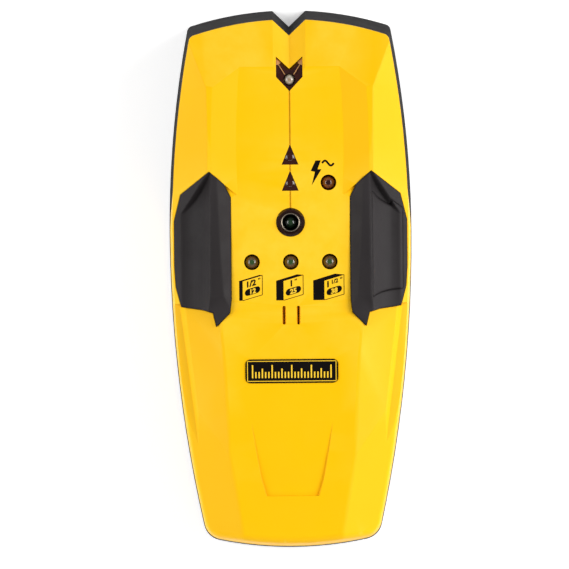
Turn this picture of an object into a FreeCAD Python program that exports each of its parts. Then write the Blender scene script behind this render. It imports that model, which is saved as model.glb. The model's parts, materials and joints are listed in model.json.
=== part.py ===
"""Stud finder: a hand-held wall scanner, as an assembly of separate pieces.

The frame: the origin is the bottom centre, +Z is up out of the lamp face, +Y points to the notched
end and +X to the side with the press button. All sizes are in millimetres.
"""

import FreeCAD
import Part

import math
import os

V = FreeCAD.Vector

# ---- overall body ----------------------------------------------------------------------------
LENGTH = 165.0
WIDTH = 74.4
RIDGE_Z = 33.0  # top of the shoulder ridges, the highest point
RIDGE_RISE = 2.0  # ridges stand this much above the lamp panel
WIDEST_Y = 14.4  # where the outline is widest
FRONT_NARROWING = 7.17  # each side comes in this much from there to the notched end
REAR_NARROWING = 11.5
FRONT_END_R = 100.0
REAR_END_R = 110.0
FRONT_DRAFT = 0.125  # lean of the walls, mm in per mm up
SIDE_DRAFT = 0.045
REAR_DRAFT = 0.06
FRONT_CORNER_R = 2.0
REAR_CORNER_R = 6.0
ARCH_Y = 40.0  # highest line of the lengthwise arch
REAR_DROP = 6.85  # fall of the arch from there to the rear end
WALL = 2.0
FLOOR = 2.5
EDGE_R = 0.7  # rounded edges of the ridges and slopes
ROLL_R = 2.5  # the rear end and the rear shoulders roll over with this radius
FOOT_R = 0.5  # rounded edge of the flat back

FRONT_Y = LENGTH / 2
REAR_Y = -LENGTH / 2
SIDE_X = WIDTH / 2

# ---- front slope, ridges and shoulders ---------------------------------------------------------
SLOPE_Y = FRONT_Y - 17.7  # the front slope starts here on the panel
SLOPE = 0.34  # fall of the front slope, mm down per mm forward
PANEL_HALF = SIDE_X - 20.8  # half-width of the panel between the ridges
RIDGE_IN_X = SIDE_X - 13.0  # inner edge of the ridge top
RIDGE_OUT_X = SIDE_X - 11.8  # outer edge of the ridge top
SHOULDER_FALL = 0.915  # fall of the shoulders, mm down per mm outward
NOTCH_HALF = 5.2
NOTCH_DEPTH = 5.0
VALLEY_HALF = 5.0  # the notch runs back over the slope as a shallow valley
VALLEY_DEPTH = 2.2
VALLEY_END_Y = FRONT_Y - 20.0

# ---- parting line --------------------------------------------------------------------------------
PART_LOW_Z = 6.5  # height of the parting line along the rear two thirds
PART_DIP_Y = 24.0  # where it drops
PART_DIP_LEN = 11.0
PART_LIP = 0.8  # it lies this much under the shoulders' lower edge
PART_EDGE = 1.6  # the shoulders' lower edge is this far inside the widest line
PART_NOSE = 8.6  # it follows the front slope to this far behind the front end
PART_BEND_1 = (14.0, 2.0)  # then it sinks in two straight runs: mm behind that point, and fall
PART_BEND_2 = (29.0, 0.6)
REVEAL = 0.3  # dark gap between the shells, seen from outside
LIP_T = 1.0
LIP_GAP = 0.1
LIP_RISE = 1.6

# ---- rear shoulders and finger scoops ----------------------------------------------------------
REAR_FACET_X = SIDE_X - 19.5  # the rear shoulder leaves the panel here, at REAR_FACET_Y
REAR_FACET_Y = REAR_Y + 19.0
REAR_FACET_TOE = 0.167  # and runs inward to the rear, mm per mm
REAR_FACET_FALL = 0.72
SPLIT_Y = -7.6  # the ridges end here, under the grips' tails
SCOOP_X = SIDE_X - 15.7  # the scoop's upper slope leaves the panel here, at SCOOP_Y
SCOOP_Y = -15.0
SCOOP_FALL = 0.55
SCOOP_WALL_X = SIDE_X - 4.0  # foot of the scoop's steep wall, at SCOOP_Y
SCOOP_WALL_RISE = 1.5
SCOOP_FRONT_Y = 20.0
SCOOP_END_Y = REAR_Y + 26.0  # rear end of the scoop, at SCOOP_END_X
SCOOP_END_X = SIDE_X - 9.7
SCOOP_TOE = 3.7 / (SCOOP_Y - SCOOP_END_Y)  # its upper edge comes in 3.7 over its length
SCOOP_WALL_TOE = 5.2 / (SCOOP_Y - SCOOP_END_Y)  # and the foot of its wall 5.2
LEDGE_Z = RIDGE_Z - 11.3  # height of the ledge outside the scoop, at SCOOP_Y
LEDGE_FALL = 0.022
LEDGE_TILT = 0.35  # it slopes outward, mm down per mm
LEDGE_END = 0.9  # slant of the faces that end the ledge
SCOOP_END_TURN = 0.7  # the scoop's rear end face turns inward
GAP_STEP = 0.2  # the ridges' inner slopes are left out beside the grips, from here in front of them
GAP_REACH = 3.6

# ---- grips -----------------------------------------------------------------------------------------
GRIP_T = 2.4
GRIP_GAP = 0.12
GRIP_IN_X = SIDE_X - 18.9
GRIP_OUT_X = SIDE_X - 1.6
GRIP_APEX = (SIDE_X - 12.4, 32.8)
GRIP_TAIL = (SIDE_X - 14.3, -14.5)
GRIP_FRONT_Y = 25.9
GRIP_REAR_Y = -8.4
GRIP_MID_Y = 4.0
GRIP_ROUND = 2.0  # size of the cut corners of its outline
GRIP_TAIL_FALL = 0.267  # it sinks to its tail, mm down per mm
GRIP_RIDGE_X = SIDE_X - 14.7  # inner edge of the grip's own ridge
GRIP_SCOOP_IN_X = SIDE_X - 12.8
GRIP_SCOOP_OUT_X = SIDE_X - 3.6
GRIP_SCOOP_DEPTH = 1.9
GRIP_SCOOP_FRONT_Y = 19.8
GRIP_SCOOP_SLANT = 0.61  # its front end runs forward this much per mm inward
GRIP_BACKING = 1.6
GRIP_RIM = 1.8  # the backing is this much larger than the grip
GRIP_PEG_R = 1.5
GRIP_PEG_LEN = 5.0
GRIP_PEG_GAP = 0.1
GRIP_PEGS = ((GRIP_IN_X + 2.7, 22.0), (GRIP_IN_X + 2.7, -3.5))

# ---- press button and its switch ----------------------------------------------------------------
BUTTON_FRONT_Y = 26.4  # front end at the top edge
BUTTON_REAR_Y = -5.6
BUTTON_TOP_Z = RIDGE_Z - 2.1
BUTTON_LOW_Z = RIDGE_Z - 8.1
BUTTON_FRONT_LEAN = 5.1  # the front end comes back this much at the lower edge
BUTTON_REAR_LEAN = 2.6
BUTTON_T = 1.9
BUTTON_GAP = 0.25
BUTTON_EDGE = 0.8  # the pad stays this far inside the grip's outer edge
BUTTON_IN_X = GRIP_RIDGE_X + 1.5
BUTTON_WEB_X = SIDE_X - 11.2  # inner edge of the web under the pad
BUTTON_WEB_HALF = 8.0
BUTTON_STEM_X = SIDE_X - 6.2
PLUNGER_TRAVEL = 0.5
SWITCH_GAP = 0.35
SWITCH_Y = 12.7
SWITCH_X = SIDE_X - 24.6
SWITCH_DEEP = 4.4
SWITCH_HALF = 3.0
SWITCH_H = 6.8
PLUNGER_R = 1.2
PLUNGER_OUT = 2.5
PLUNGER_IN = 1.5
PLUNGER_GAP = 0.06
STEM_HALF = 0.9
STEM_GAP = 0.4

# ---- boards and what stands on them -----------------------------------------------------------------
BOARD_T = 1.6
BOARD_TOP_Z = RIDGE_Z - 11.6
BOARD_HALF = SIDE_X - 16.2
BOARD_FRONT_Y = FRONT_Y - 15.5
BOARD_REAR_Y = -18.0
BOARD_CORNER_R = 2.0
PLUNGER_Z = BOARD_TOP_Z + 4.6
SENSOR_Z = 4.6  # underside of the sensor board
SENSOR_HALF = SIDE_X - 13.9
SENSOR_FRONT_Y = FRONT_Y - 14.5
SENSOR_REAR_Y = -7.0
SENSOR_POSTS = ((SENSOR_HALF - 3.3, 3.0), (SENSOR_HALF - 3.3, FRONT_Y - 25.5))
SENSOR_POST_R = 1.8
SENSOR_PIN_R = 0.9
SENSOR_PIN_GAP = 0.1
PLATE_T = 0.3
PLATE_Y = (10.0, FRONT_Y - 30.5)
PLATE_HALF = 6.0  # half-width of the middle plate
PLATE_GAP = 2.0
PLATE_EDGE = 2.3  # the outer plates end this far inside the board's edge
LINK_Y = FRONT_Y - 18.5
LINK_PINS = 8
LINK_PITCH = 2.54
LINK_PIN_HALF = 0.32
LINK_BLOCK = (1.4, 11.0, 13.5)  # half-depth and heights of the link's block
CAPACITOR_R = 2.4
CAPACITOR_H = 5.6
CAPACITOR_X = -13.0
CAPACITOR_Y = (37.0, 44.0)
RESISTORS = 7
RESISTOR = (2.0, 1.2, 0.6)
RESISTOR_Y = 53.0
RESISTOR_PITCH = 4.0
CHIP = (8.0, 8.0, 1.4)
CHIP_X = 4.0
CHIP_Y = 38.0
SLOT_X = 2.2
SLOT_Y = -11.2
SLOT_LEN = 5.7
SLOT_W = 1.0
SLOT_DEPTH = 1.1
SLIT_W = 0.4  # a narrower slit goes on through the roof
SOUNDER_D = 13.8
SOUNDER_H = 4.2

# ---- lamps and windows ------------------------------------------------------------------------------
LAMP_D = 4.7
LAMP_H = 8.4
LAMP_FLANGE = 0.4
LAMP_FLANGE_H = 1.0
LAMP_HOLE_GAP = 0.05
LAMP_LEAD_X = 1.27  # each lead is this far from the lamp's middle
LAMP_LEAD_HALF = 0.25
LAMP_LEAD_OUT = 1.2  # and ends this much under the board
LAMP_LEAD_HOLE_R = 0.45
DEPTH_LAMP_Y = 5.1
DEPTH_LAMP_X = 11.9
READY_Y = 17.2
READY_BEZEL_W = 2.0  # width of the ring round the ready lamp
READY_BEZEL_RISE = 0.5
READY_RIM = 0.5  # bevel of the ring's outer edge
READY_TAPER = 0.9  # depth and width of the ring's inner bevel
READY_GAP = 0.2
WARNING_X = 11.7
WARNING_Y = 29.3
ARROW_Y = (34.9, 26.9)  # base line of each arrow window
ARROW_BASE = 5.0
ARROW_HEIGHT = 6.0
ARROW_MIDDLE = 0.36  # its lamp stands at this share of its height
ARROW_SINK = 0.25
ARROW_DEEP = 2.3
ARROW_LAMP_D = 3.0
ARROW_LAMP_H = 5.0
WINDOW_GAP = 0.05
CHEVRON_HALF = 4.0
CHEVRON_FRONT_Y = FRONT_Y - 14.7
CHEVRON_DIP = 3.7
CHEVRON_SIDE = 6.1
CHEVRON_REAR_Y = FRONT_Y - 25.1
CHEVRON_SINK = 0.8
CHEVRON_T = 1.6
MARK_LAMP_Y = FRONT_Y - 21.7
MARK_LAMP_D = 3.6
MARK_LAMP_H = 8.6
LINE_W = 0.5
LINE_DEPTH = 0.15
LINE_START = 2.0  # the line starts this far in front of the ready lamp's middle

# ---- battery, its bay and door --------------------------------------------------------------------
BATTERY = (26.5, 46.4, 17.5)
BATTERY_REAR_Y = REAR_Y + 10.1
BATTERY_FRONT_Y = BATTERY_REAR_Y + BATTERY[1]
BATTERY_Z = 3.9
BATTERY_TOP_Z = BATTERY_Z + BATTERY[2]
BATTERY_EDGE_R = 1.5
STUD_X = 6.35
STUD_R = (2.8, 3.4)
STUD_LEN = 3.0
CONTACT_WALL = 0.9
CONTACT_LEN = 2.6
CLIP = (24.8, 1.6, 12.0)
CLIP_EDGE_R = 1.2
BAY_GAP = 0.6
BAY_WALL = 1.4
BAY_TUCK = 2.0  # the bay's walls end this much under the battery's top
RIB_HALF = (10.0, 0.7)
RIB_STEP = (10.4, 34.4)  # the roof's ribs stand this far in front of the battery's rear
RIB_GAP = 0.2
DOOR_HALF = BATTERY[0] / 2 + 0.95
DOOR_HINGE_Y = BATTERY_FRONT_Y + 8.4
DOOR_REAR_Y = REAR_Y + 6.5
DOOR_T = 2.4
DOOR_GAP = 0.3
HINGE_PIN_R = 0.8
HINGE_PIN_GAP = 0.05
HINGE_PIN_LEN = 1.8
LATCH_HALF = 5.0
LATCH_T = 1.0
LATCH_H = 4.0
LATCH_NOSE = 0.2
NAIL_HALF = 5.6  # the finger recess behind the door
NAIL_LEN = 3.5
NAIL_DEPTH = 1.2
DOOR_RIBS = 6
DOOR_RIB_PITCH = 1.8
DOOR_RIB = (7.0, 0.8, 0.5)
FOAM_HALF = 9.0
FOAM_IN = 8.0  # the foam ends this far inside the battery's ends
FOAM_GAP = 0.1
LEAD_D = 1.3
LEAD_X = 5.0
LEAD_Y = (BATTERY_FRONT_Y + STUD_LEN + CLIP[1], -12.5)
LEAD_Z = (11.0, BOARD_TOP_Z - BOARD_T)

# ---- screws -------------------------------------------------------------------------------------------
CASE_SCREWS = ((SIDE_X - 12.2, FRONT_Y - 21.5), (SIDE_X - 12.6, REAR_Y + 20.5))
CASE_POST_R = 3.6
CASE_POST_TOP_Z = 10.0
CASE_SCREW_R = 1.4
CASE_SCREW_TIP = (RIDGE_Z - 11.0, RIDGE_Z - 16.0)
CASE_HOLE_END = 1.0  # the screw's hole goes on this much past its tip
CASE_HEAD_R = 2.7
CASE_HEAD_H = 1.6
CASE_HEAD_Z = 0.6
CROSS = (1.6, 0.35, 0.8)  # half-length, half-width and depth of the cross in its head
BOARD_SCREWS = ((BOARD_HALF - 3.0, FRONT_Y - 34.5), (BOARD_HALF - 3.0, -15.0))
BOARD_SCREW_R = 1.0
BOARD_SCREW_IN = 4.0
BOARD_HEAD_R = 1.9
BOARD_HEAD_H = 1.3
BOARD_SLIT = (1.1, 0.3, 0.6)
BOARD_BOSS_R = 2.4
SCREW_GAP = 0.1
THREAD_GAP = 0.02

# ---- badge ------------------------------------------------------------------------------------------
BADGE_Y = -28.3
BADGE_LEN = 28.2
BADGE_W = 7.2
BADGE_T = 0.8
BADGE_SINK = 0.5
BADGE_R = 1.6

# ---- tongue: y from the rear end and half-width of its outline's corners ----------------------------
TONGUE = ((16.0, 8.0), (21.5, 9.6), (30.5, 11.2), (38.5, 12.4))
TONGUE_DEPTH = 0.8

PANEL_Z = RIDGE_Z - RIDGE_RISE
ARCH_R = ((ARCH_Y - REAR_Y) ** 2 + REAR_DROP**2) / (2 * REAR_DROP)
FAR = 200.0
SKY = 50.0  # above everything
PAST = 5.0  # cutting shapes run this much past what they cut
SIDES = (-1, 1)


def box(x0, x1, y0, y1, z0, z1):
    """A box between two opposite corners."""
    return Part.makeBox(x1 - x0, y1 - y0, z1 - z0, V(x0, y0, z0))


def block(x, y, z0, half_x, half_y, tall):
    """A box standing on z0 over a middle point."""
    return box(x - half_x, x + half_x, y - half_y, y + half_y, z0, z0 + tall)


def cyl(x, y, z0, z1, r):
    """An upright cylinder."""
    return Part.makeCylinder(r, z1 - z0, V(x, y, z0))


def rod_x(x0, x1, y, z, r):
    """A cylinder along X."""
    return Part.makeCylinder(r, x1 - x0, V(x0, y, z), V(1, 0, 0))


def fuse(shapes):
    """One solid from several that touch or overlap."""
    whole = shapes[0]
    for shape in shapes[1:]:
        whole = whole.fuse(shape)
    return whole.removeSplitter()


def both_sides(places):
    """Each (x, y) place and its mirror image across the middle plane."""
    return [(side * x, y) for x, y in places for side in SIDES]


def mirror(shape, side):
    """The shape itself for +1, or its mirror image across the middle plane for -1."""
    return shape if side > 0 else shape.mirror(V(0, 0, 0), V(1, 0, 0))


def face_of(points):
    """A flat face inside a closed ring of points."""
    return Part.Face(Part.makePolygon(points + points[:1]))


def prism(outline, z0, z1):
    """An upright prism over an outline of (x, y) points."""
    return face_of([V(x, y, z0) for x, y in outline]).extrude(V(0, 0, z1 - z0))


def beyond(point, normal, offset=0.0):
    """Everything on the outer side of a plane that is moved inward by offset."""
    n = V(*normal)
    n.normalize()
    space = Part.makeBox(2 * FAR, 2 * FAR, FAR, V(-FAR, -FAR, 0))
    space.Placement = FreeCAD.Placement(V(*point) - n * offset, FreeCAD.Rotation(V(0, 0, 1), n))
    return space


# ---- outline and arch ------------------------------------------------------------------------------


def bow_radius(run, drop):
    """Radius of an arc that leaves its tangent by drop over a run."""
    return (run * run + drop * drop) / (2 * drop)


def circle_cross(c1, r1, c2, r2, forward):
    """Where two circles meet, on the +X side, at the forward or the rear crossing."""
    d = math.dist(c1, c2)
    along = (d * d + r1 * r1 - r2 * r2) / (2 * d)
    across = math.sqrt(r1 * r1 - along * along)
    ux, uy = (c2[0] - c1[0]) / d, (c2[1] - c1[1]) / d
    ends = [
        (c1[0] + along * ux - s * across * uy, c1[1] + along * uy + s * across * ux)
        for s in SIDES
    ]
    return max(ends, key=lambda p: p[0] + (p[1] if forward else -p[1]))


def arc_point(centre, r, p, q):
    """The point of a circle half-way between two of its points."""
    mx, my = (p[0] + q[0]) / 2 - centre[0], (p[1] + q[1]) / 2 - centre[1]
    k = r / math.hypot(mx, my)
    return (centre[0] + mx * k, centre[1] + my * k)


def plan_wire(z, offset):
    """The outline at height z, moved in by offset."""
    side_in = offset + SIDE_DRAFT * z
    front_c = (0.0, FRONT_Y - FRONT_END_R)
    front_r = FRONT_END_R - offset - FRONT_DRAFT * z
    rear_c = (0.0, REAR_Y + REAR_END_R)
    rear_r = REAR_END_R - offset - REAR_DRAFT * z
    fore_side_r = bow_radius(FRONT_Y - WIDEST_Y, FRONT_NARROWING)
    aft_side_r = bow_radius(WIDEST_Y - REAR_Y, REAR_NARROWING)
    fore_c, fore_r = (SIDE_X - fore_side_r, WIDEST_Y), fore_side_r - side_in
    aft_c, aft_r = (SIDE_X - aft_side_r, WIDEST_Y), aft_side_r - side_in
    nose = circle_cross(fore_c, fore_r, front_c, front_r, True)
    waist = (SIDE_X - side_in, WIDEST_Y)
    tail = circle_cross(aft_c, aft_r, rear_c, rear_r, False)
    left = {p: (-p[0], p[1]) for p in (nose, waist, tail)}
    fore_mid = arc_point(fore_c, fore_r, nose, waist)
    aft_mid = arc_point(aft_c, aft_r, waist, tail)
    spans = [
        (nose, fore_mid, waist),
        (waist, aft_mid, tail),
        (tail, (0.0, rear_c[1] - rear_r), left[tail]),
        (left[tail], (-aft_mid[0], aft_mid[1]), left[waist]),
        (left[waist], (-fore_mid[0], fore_mid[1]), left[nose]),
        (left[nose], (0.0, front_c[1] + front_r), nose),
    ]
    return Part.Wire([Part.Arc(*(V(x, y, z) for x, y in span)).toShape() for span in spans])


def plan_body(offset):
    """The drafted block under the top, with rounded upright corners, moved in by offset."""
    body = Part.makeLoft([plan_wire(0.0, offset), plan_wire(RIDGE_Z + PAST, offset)], True, True)
    for end, r in ((1, FRONT_CORNER_R), (-1, REAR_CORNER_R)):
        corners = [e for e in body.Edges
                   if e.BoundBox.ZLength > RIDGE_Z and end * e.BoundBox.Center.y > LENGTH / 4]
        body = body.makeFillet(max(r - offset, EDGE_R), corners)
    return body


def arch(rise, offset):
    """Everything under the long round of the top, rise above the panel."""
    r = ARCH_R + rise - offset
    low = PANEL_Z - ARCH_R
    ends = [V(-FAR / 2, y, low + math.sqrt(r**2 - (y - ARCH_Y) ** 2)) for y in (-FAR / 2, FAR / 2)]
    feet = [V(-FAR / 2, FAR / 2, -PAST), V(-FAR / 2, -FAR / 2, -PAST)]
    corners = [ends[1], *feet, ends[0]]
    edges = [Part.Arc(ends[0], V(-FAR / 2, ARCH_Y, low + r), ends[1]).toShape()]
    edges += [Part.makeLine(a, b) for a, b in zip(corners, corners[1:])]
    return Part.Face(Part.Wire(edges)).extrude(V(FAR, 0, 0))


def panel_z(y):
    """Height of the panel at y."""
    return PANEL_Z - ARCH_R + math.sqrt(ARCH_R**2 - (y - ARCH_Y) ** 2)


# ---- the closed outside shape ------------------------------------------------------------------------


def channel(low_x, high_x, offset):
    """What lies above the panel between two ridges, from low_x at the panel to high_x at their tops."""
    run = (high_x - low_x) / RIDGE_RISE
    low, high = PANEL_Z - RIDGE_RISE, RIDGE_Z + PAST
    shift = offset * math.hypot(run, 1)
    x_low = low_x - RIDGE_RISE * run + shift
    x_high = high_x + PAST * run + shift
    y_rear = SPLIT_Y - PAST
    ring = [V(x_low, y_rear, low), V(x_high, y_rear, high), V(-x_high, y_rear, high), V(-x_low, y_rear, low)]
    return face_of(ring).extrude(V(0, FRONT_Y + PAST - y_rear, 0)).cut(arch(0.0, offset))


def front_slope(offset):
    """What lies above the front slope."""
    return beyond((0, SLOPE_Y, panel_z(SLOPE_Y)), (0, SLOPE, 1), offset)


def shoulder(side, offset):
    """What lies outside one front shoulder."""
    return beyond((side * RIDGE_OUT_X, 0, RIDGE_Z), (side * SHOULDER_FALL, 0, 1), offset)


def shoulder_z(x):
    """Height of the front shoulder at x."""
    return RIDGE_Z - SHOULDER_FALL * (x - RIDGE_OUT_X)


def rear_facet(side, offset):
    """What lies outside one rear shoulder."""
    point = (side * REAR_FACET_X, REAR_FACET_Y, panel_z(REAR_FACET_Y))
    lean = (ARCH_Y - REAR_FACET_Y) / ARCH_R + REAR_FACET_FALL * REAR_FACET_TOE
    return beyond(point, (side * REAR_FACET_FALL, -lean, 1), offset)


def ledge_z(y):
    """Height of the ledge outside the scoop."""
    return LEDGE_Z + LEDGE_FALL * (y - SCOOP_Y)


def ledge_space(side, offset):
    """Everything above the ledge, up to the slanting face that ends it in front."""
    lean = LEDGE_FALL + LEDGE_TILT * SCOOP_WALL_TOE
    above = beyond((side * SCOOP_WALL_X, SCOOP_Y, LEDGE_Z), (side * LEDGE_TILT, -lean, 1), offset)
    return above.cut(beyond((0, SCOOP_FRONT_Y, ledge_z(SCOOP_FRONT_Y)), (0, 1, -LEDGE_END), -offset))


def scoop(side, offset):
    """One finger scoop: an upper slope and a steep wall down to a ledge, ended by slanting faces."""
    lean = (ARCH_Y - SCOOP_Y) / ARCH_R + SCOOP_FALL * SCOOP_TOE
    upper = beyond((side * SCOOP_X, SCOOP_Y, panel_z(SCOOP_Y)), (side * SCOOP_FALL, -lean, 1), offset)
    rise = SCOOP_WALL_RISE
    foot = (side * SCOOP_WALL_X, SCOOP_Y, LEDGE_Z)
    steep = beyond(foot, (side * rise, -rise * SCOOP_WALL_TOE - LEDGE_FALL, 1), offset)
    end = (side * SCOOP_END_X, SCOOP_END_Y, ledge_z(SCOOP_END_Y))
    rear = beyond(end, (-side * SCOOP_END_TURN, -1, -LEDGE_END), -offset)
    return upper.fuse(steep).common(ledge_space(side, offset)).cut(rear)


def ridge_gap(offset):
    """What is cut from the ridges' inner slopes where the grips lie beside the flat panel."""
    y = GRIP_FRONT_Y - GAP_STEP
    run = (GRIP_APEX[1] - y) / (GRIP_APEX[0] - PANEL_HALF)
    x, low = PANEL_HALF + GAP_REACH, SPLIT_Y - PAST
    right = [(x, low), (x, y + GAP_REACH * run), (PANEL_HALF, y)]
    outline = right + [(-px, py) for px, py in reversed(right)]
    return prism(outline, PANEL_Z / 2, RIDGE_Z + PAST).cut(arch(0.0, offset))


def fore_body(offset):
    """The front part's shape, with its ridges, moved in by offset."""
    body = plan_body(offset).common(arch(RIDGE_RISE, offset)).cut(ridge_gap(offset))
    body = body.cut(channel(PANEL_HALF, RIDGE_IN_X, offset)).cut(front_slope(offset))
    strip = box(GRIP_OUT_X + REVEAL - offset, FAR, SPLIT_Y, FRONT_Y, 0, SKY)
    for side in SIDES:
        body = body.cut(shoulder(side, offset))
        body = body.cut(mirror(strip, side).common(ledge_space(side, offset)))
    return body.cut(box(-FAR, FAR, -FAR, SPLIT_Y, -FAR, FAR))


def aft_body(offset):
    """The rear part's shape, moved in by offset."""
    body = plan_body(offset).common(arch(0.0, offset))
    for side in SIDES:
        body = body.cut(rear_facet(side, offset)).cut(scoop(side, offset))
    return body.cut(box(-FAR, FAR, SPLIT_Y, FAR, -FAR, FAR))


def notch(offset):
    """The marking notch in the front end, with walls that lean as the front wall does."""
    run = NOTCH_HALF / NOTCH_DEPTH
    reach = 3 * NOTCH_DEPTH
    rings = []
    for z in (-1.0, RIDGE_Z + PAST):
        tip = FRONT_Y - NOTCH_DEPTH - FRONT_DRAFT * z - offset * math.hypot(run, 1) / run
        ring = [V(0, tip, z), V(run * reach, tip + reach, z), V(-run * reach, tip + reach, z)]
        rings.append(Part.makePolygon(ring + ring[:1]))
    return Part.makeLoft(rings, True, True)


def valley(offset):
    """The valley that runs from the notch back over the front slope."""
    reach = 3 * VALLEY_HALF
    rise = VALLEY_DEPTH / VALLEY_HALF
    rings = []
    for y in (VALLEY_END_Y, FRONT_Y + PAST):
        z = panel_z(SLOPE_Y) - SLOPE * (y - SLOPE_Y) - offset - VALLEY_DEPTH
        ring = [V(0, y, z), V(reach, y, z + reach * rise), V(-reach, y, z + reach * rise)]
        rings.append(Part.makePolygon(ring + ring[:1]))
    return Part.makeLoft(rings, True, True)


def envelope(offset):
    """The whole closed shape, moved in by offset."""
    whole = fore_body(offset).fuse(aft_body(offset)).removeSplitter()
    return whole.cut(notch(offset)).cut(valley(offset))


def slope_z(y):
    """Height of the front slope at y."""
    return panel_z(SLOPE_Y) - SLOPE * (y - SLOPE_Y)


def parting(shift):
    """Everything below the parting line, moved up by shift."""
    nose_y = FRONT_Y - PART_NOSE
    waist_z = shoulder_z(SIDE_X - PART_EDGE)
    nose_z = slope_z(nose_y)
    points = [(FRONT_Y + PAST, slope_z(FRONT_Y + PAST)), (nose_y, nose_z),
              (nose_y - PART_BEND_1[0], nose_z - PART_BEND_1[1]),
              (nose_y - PART_BEND_2[0], waist_z + PART_BEND_2[1]), (PART_DIP_Y + 3, waist_z)]
    points = [(y, z - PART_LIP) for y, z in points]
    points += [(PART_DIP_Y + 7 - PART_DIP_LEN, PART_LOW_Z + 4), (PART_DIP_Y + 3 - PART_DIP_LEN, PART_LOW_Z)]
    ring = [V(-FAR / 2, y, z + shift) for y, z in points + [(-FAR / 2, PART_LOW_Z)]]
    ring += [V(-FAR / 2, -FAR / 2, -PAST), V(-FAR / 2, FRONT_Y + PAST, -PAST)]
    return face_of(ring).extrude(V(FAR, 0, 0)).cut(valley(PART_LIP - shift))


def edges_at(shape, points):
    """The edges of a shape that pass nearest to some points, on both sides."""
    found = []
    for x, y, z in points:
        for side in SIDES:
            spot = Part.Vertex(V(side * x, y, z))
            nearest = min(shape.Edges, key=lambda e: e.distToShape(spot)[0])
            if not any(nearest.isSame(edge) for edge in found):
                found.append(nearest)
    return found


def round_body(body):
    """Round the outside's edges: ridges, slopes, rear shoulders with the rear end, and the back's rim."""
    mid_y = (SLOPE_Y + GRIP_APEX[1]) / 2
    lift = panel_z(mid_y) - PANEL_Z
    half_x, half_z = (PANEL_HALF + RIDGE_IN_X) / 2, (PANEL_Z + RIDGE_Z) / 2
    top_x = (RIDGE_IN_X + RIDGE_OUT_X) / 2
    out_x = (RIDGE_OUT_X + SIDE_X - PAST) / 2
    slope = [(x, SLOPE_Y - (z - panel_z(SLOPE_Y)) / SLOPE, z) for x, z in
             ((PANEL_HALF / 2 + VALLEY_HALF, panel_z(SLOPE_Y)), (half_x, half_z), (top_x, RIDGE_Z),
              (out_x, shoulder_z(out_x)))]
    ridges = [(RIDGE_OUT_X, mid_y, RIDGE_Z + lift), (RIDGE_IN_X, mid_y, RIDGE_Z + lift)]
    feet = [(PANEL_HALF, mid_y, PANEL_Z + lift)]
    aft_y = (SCOOP_Y + SCOOP_END_Y) / 2
    end_z = panel_z(REAR_Y)
    rear = [(0, REAR_Y + REAR_DRAFT * end_z, end_z),
            (SCOOP_X - SCOOP_TOE * (SCOOP_Y - aft_y), aft_y, panel_z(aft_y)),
            (REAR_FACET_X, REAR_FACET_Y, panel_z(REAR_FACET_Y)),
            (REAR_FACET_X + 1, REAR_Y + REAR_DRAFT * end_z + 1, end_z - REAR_FACET_FALL * 4)]
    for radius, points in ((EDGE_R, ridges), (EDGE_R, slope), (EDGE_R, feet), (ROLL_R, rear)):
        body = body.makeFillet(radius, edges_at(body, points))
    return body.makeFillet(FOOT_R, [e for e in body.Edges if e.BoundBox.ZMax < FOOT_R])


# ---- grips and button ------------------------------------------------------------------------------


def grip_outline(grow):
    """The right grip's outline as a face at z = 0, made larger by grow."""
    x_in, x_out, cut = GRIP_IN_X, GRIP_OUT_X, GRIP_ROUND
    tail_x, tail_y = GRIP_TAIL
    outline = [
        GRIP_APEX, (x_out - cut, GRIP_FRONT_Y), (x_out, GRIP_FRONT_Y - 4 * cut), (x_out, GRIP_MID_Y),
        (x_out - 0.2 * cut, GRIP_REAR_Y + 3 * cut), (x_out - cut, GRIP_REAR_Y),
        (tail_x + 2 * cut, GRIP_REAR_Y - cut / 2), (tail_x + cut / 2, GRIP_REAR_Y - cut), GRIP_TAIL,
        (x_in + cut / 4, GRIP_REAR_Y - cut), (x_in, GRIP_REAR_Y + cut), (x_in, GRIP_FRONT_Y - cut / 2),
        (x_in + cut, GRIP_FRONT_Y + 1.5 * cut),
    ]
    face = face_of([V(x, y, 0) for x, y in outline])
    return face.makeOffset2D(grow, 0, False, False, False) if grow else face


def grip_prism(side, grow):
    """The upright prism over a grip's outline."""
    return mirror(grip_outline(grow).extrude(V(0, 0, RIDGE_Z + PAST)), side)


def grip_skin(side, offset):
    """Everything under a grip's outer surface, moved down by offset."""
    body = arch(RIDGE_RISE, offset).cut(channel(GRIP_IN_X, GRIP_RIDGE_X, offset)).cut(shoulder(side, offset))
    tail_y = GRIP_TAIL[1]
    body = body.cut(beyond((0, tail_y, panel_z(tail_y)), (0, -GRIP_TAIL_FALL, 1), offset))
    out_z = shoulder_z(GRIP_SCOOP_OUT_X)
    across, down = GRIP_SCOOP_OUT_X - GRIP_SCOOP_IN_X, RIDGE_Z - out_z
    chord = math.hypot(across, down)
    r = bow_radius(chord / 2, GRIP_SCOOP_DEPTH)
    reach = (r - GRIP_SCOOP_DEPTH) / chord
    x = (GRIP_SCOOP_IN_X + GRIP_SCOOP_OUT_X) / 2 + down * reach
    z = (RIDGE_Z + out_z) / 2 + across * reach
    hollow = Part.makeCylinder(r + offset, 2 * SKY, V(x, -SKY, z), V(0, 1, 0))
    front = (GRIP_SCOOP_OUT_X, GRIP_SCOOP_FRONT_Y, out_z)
    return body.cut(mirror(hollow.cut(beyond(front, (GRIP_SCOOP_SLANT, 1, -1), -offset)), side))


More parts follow.
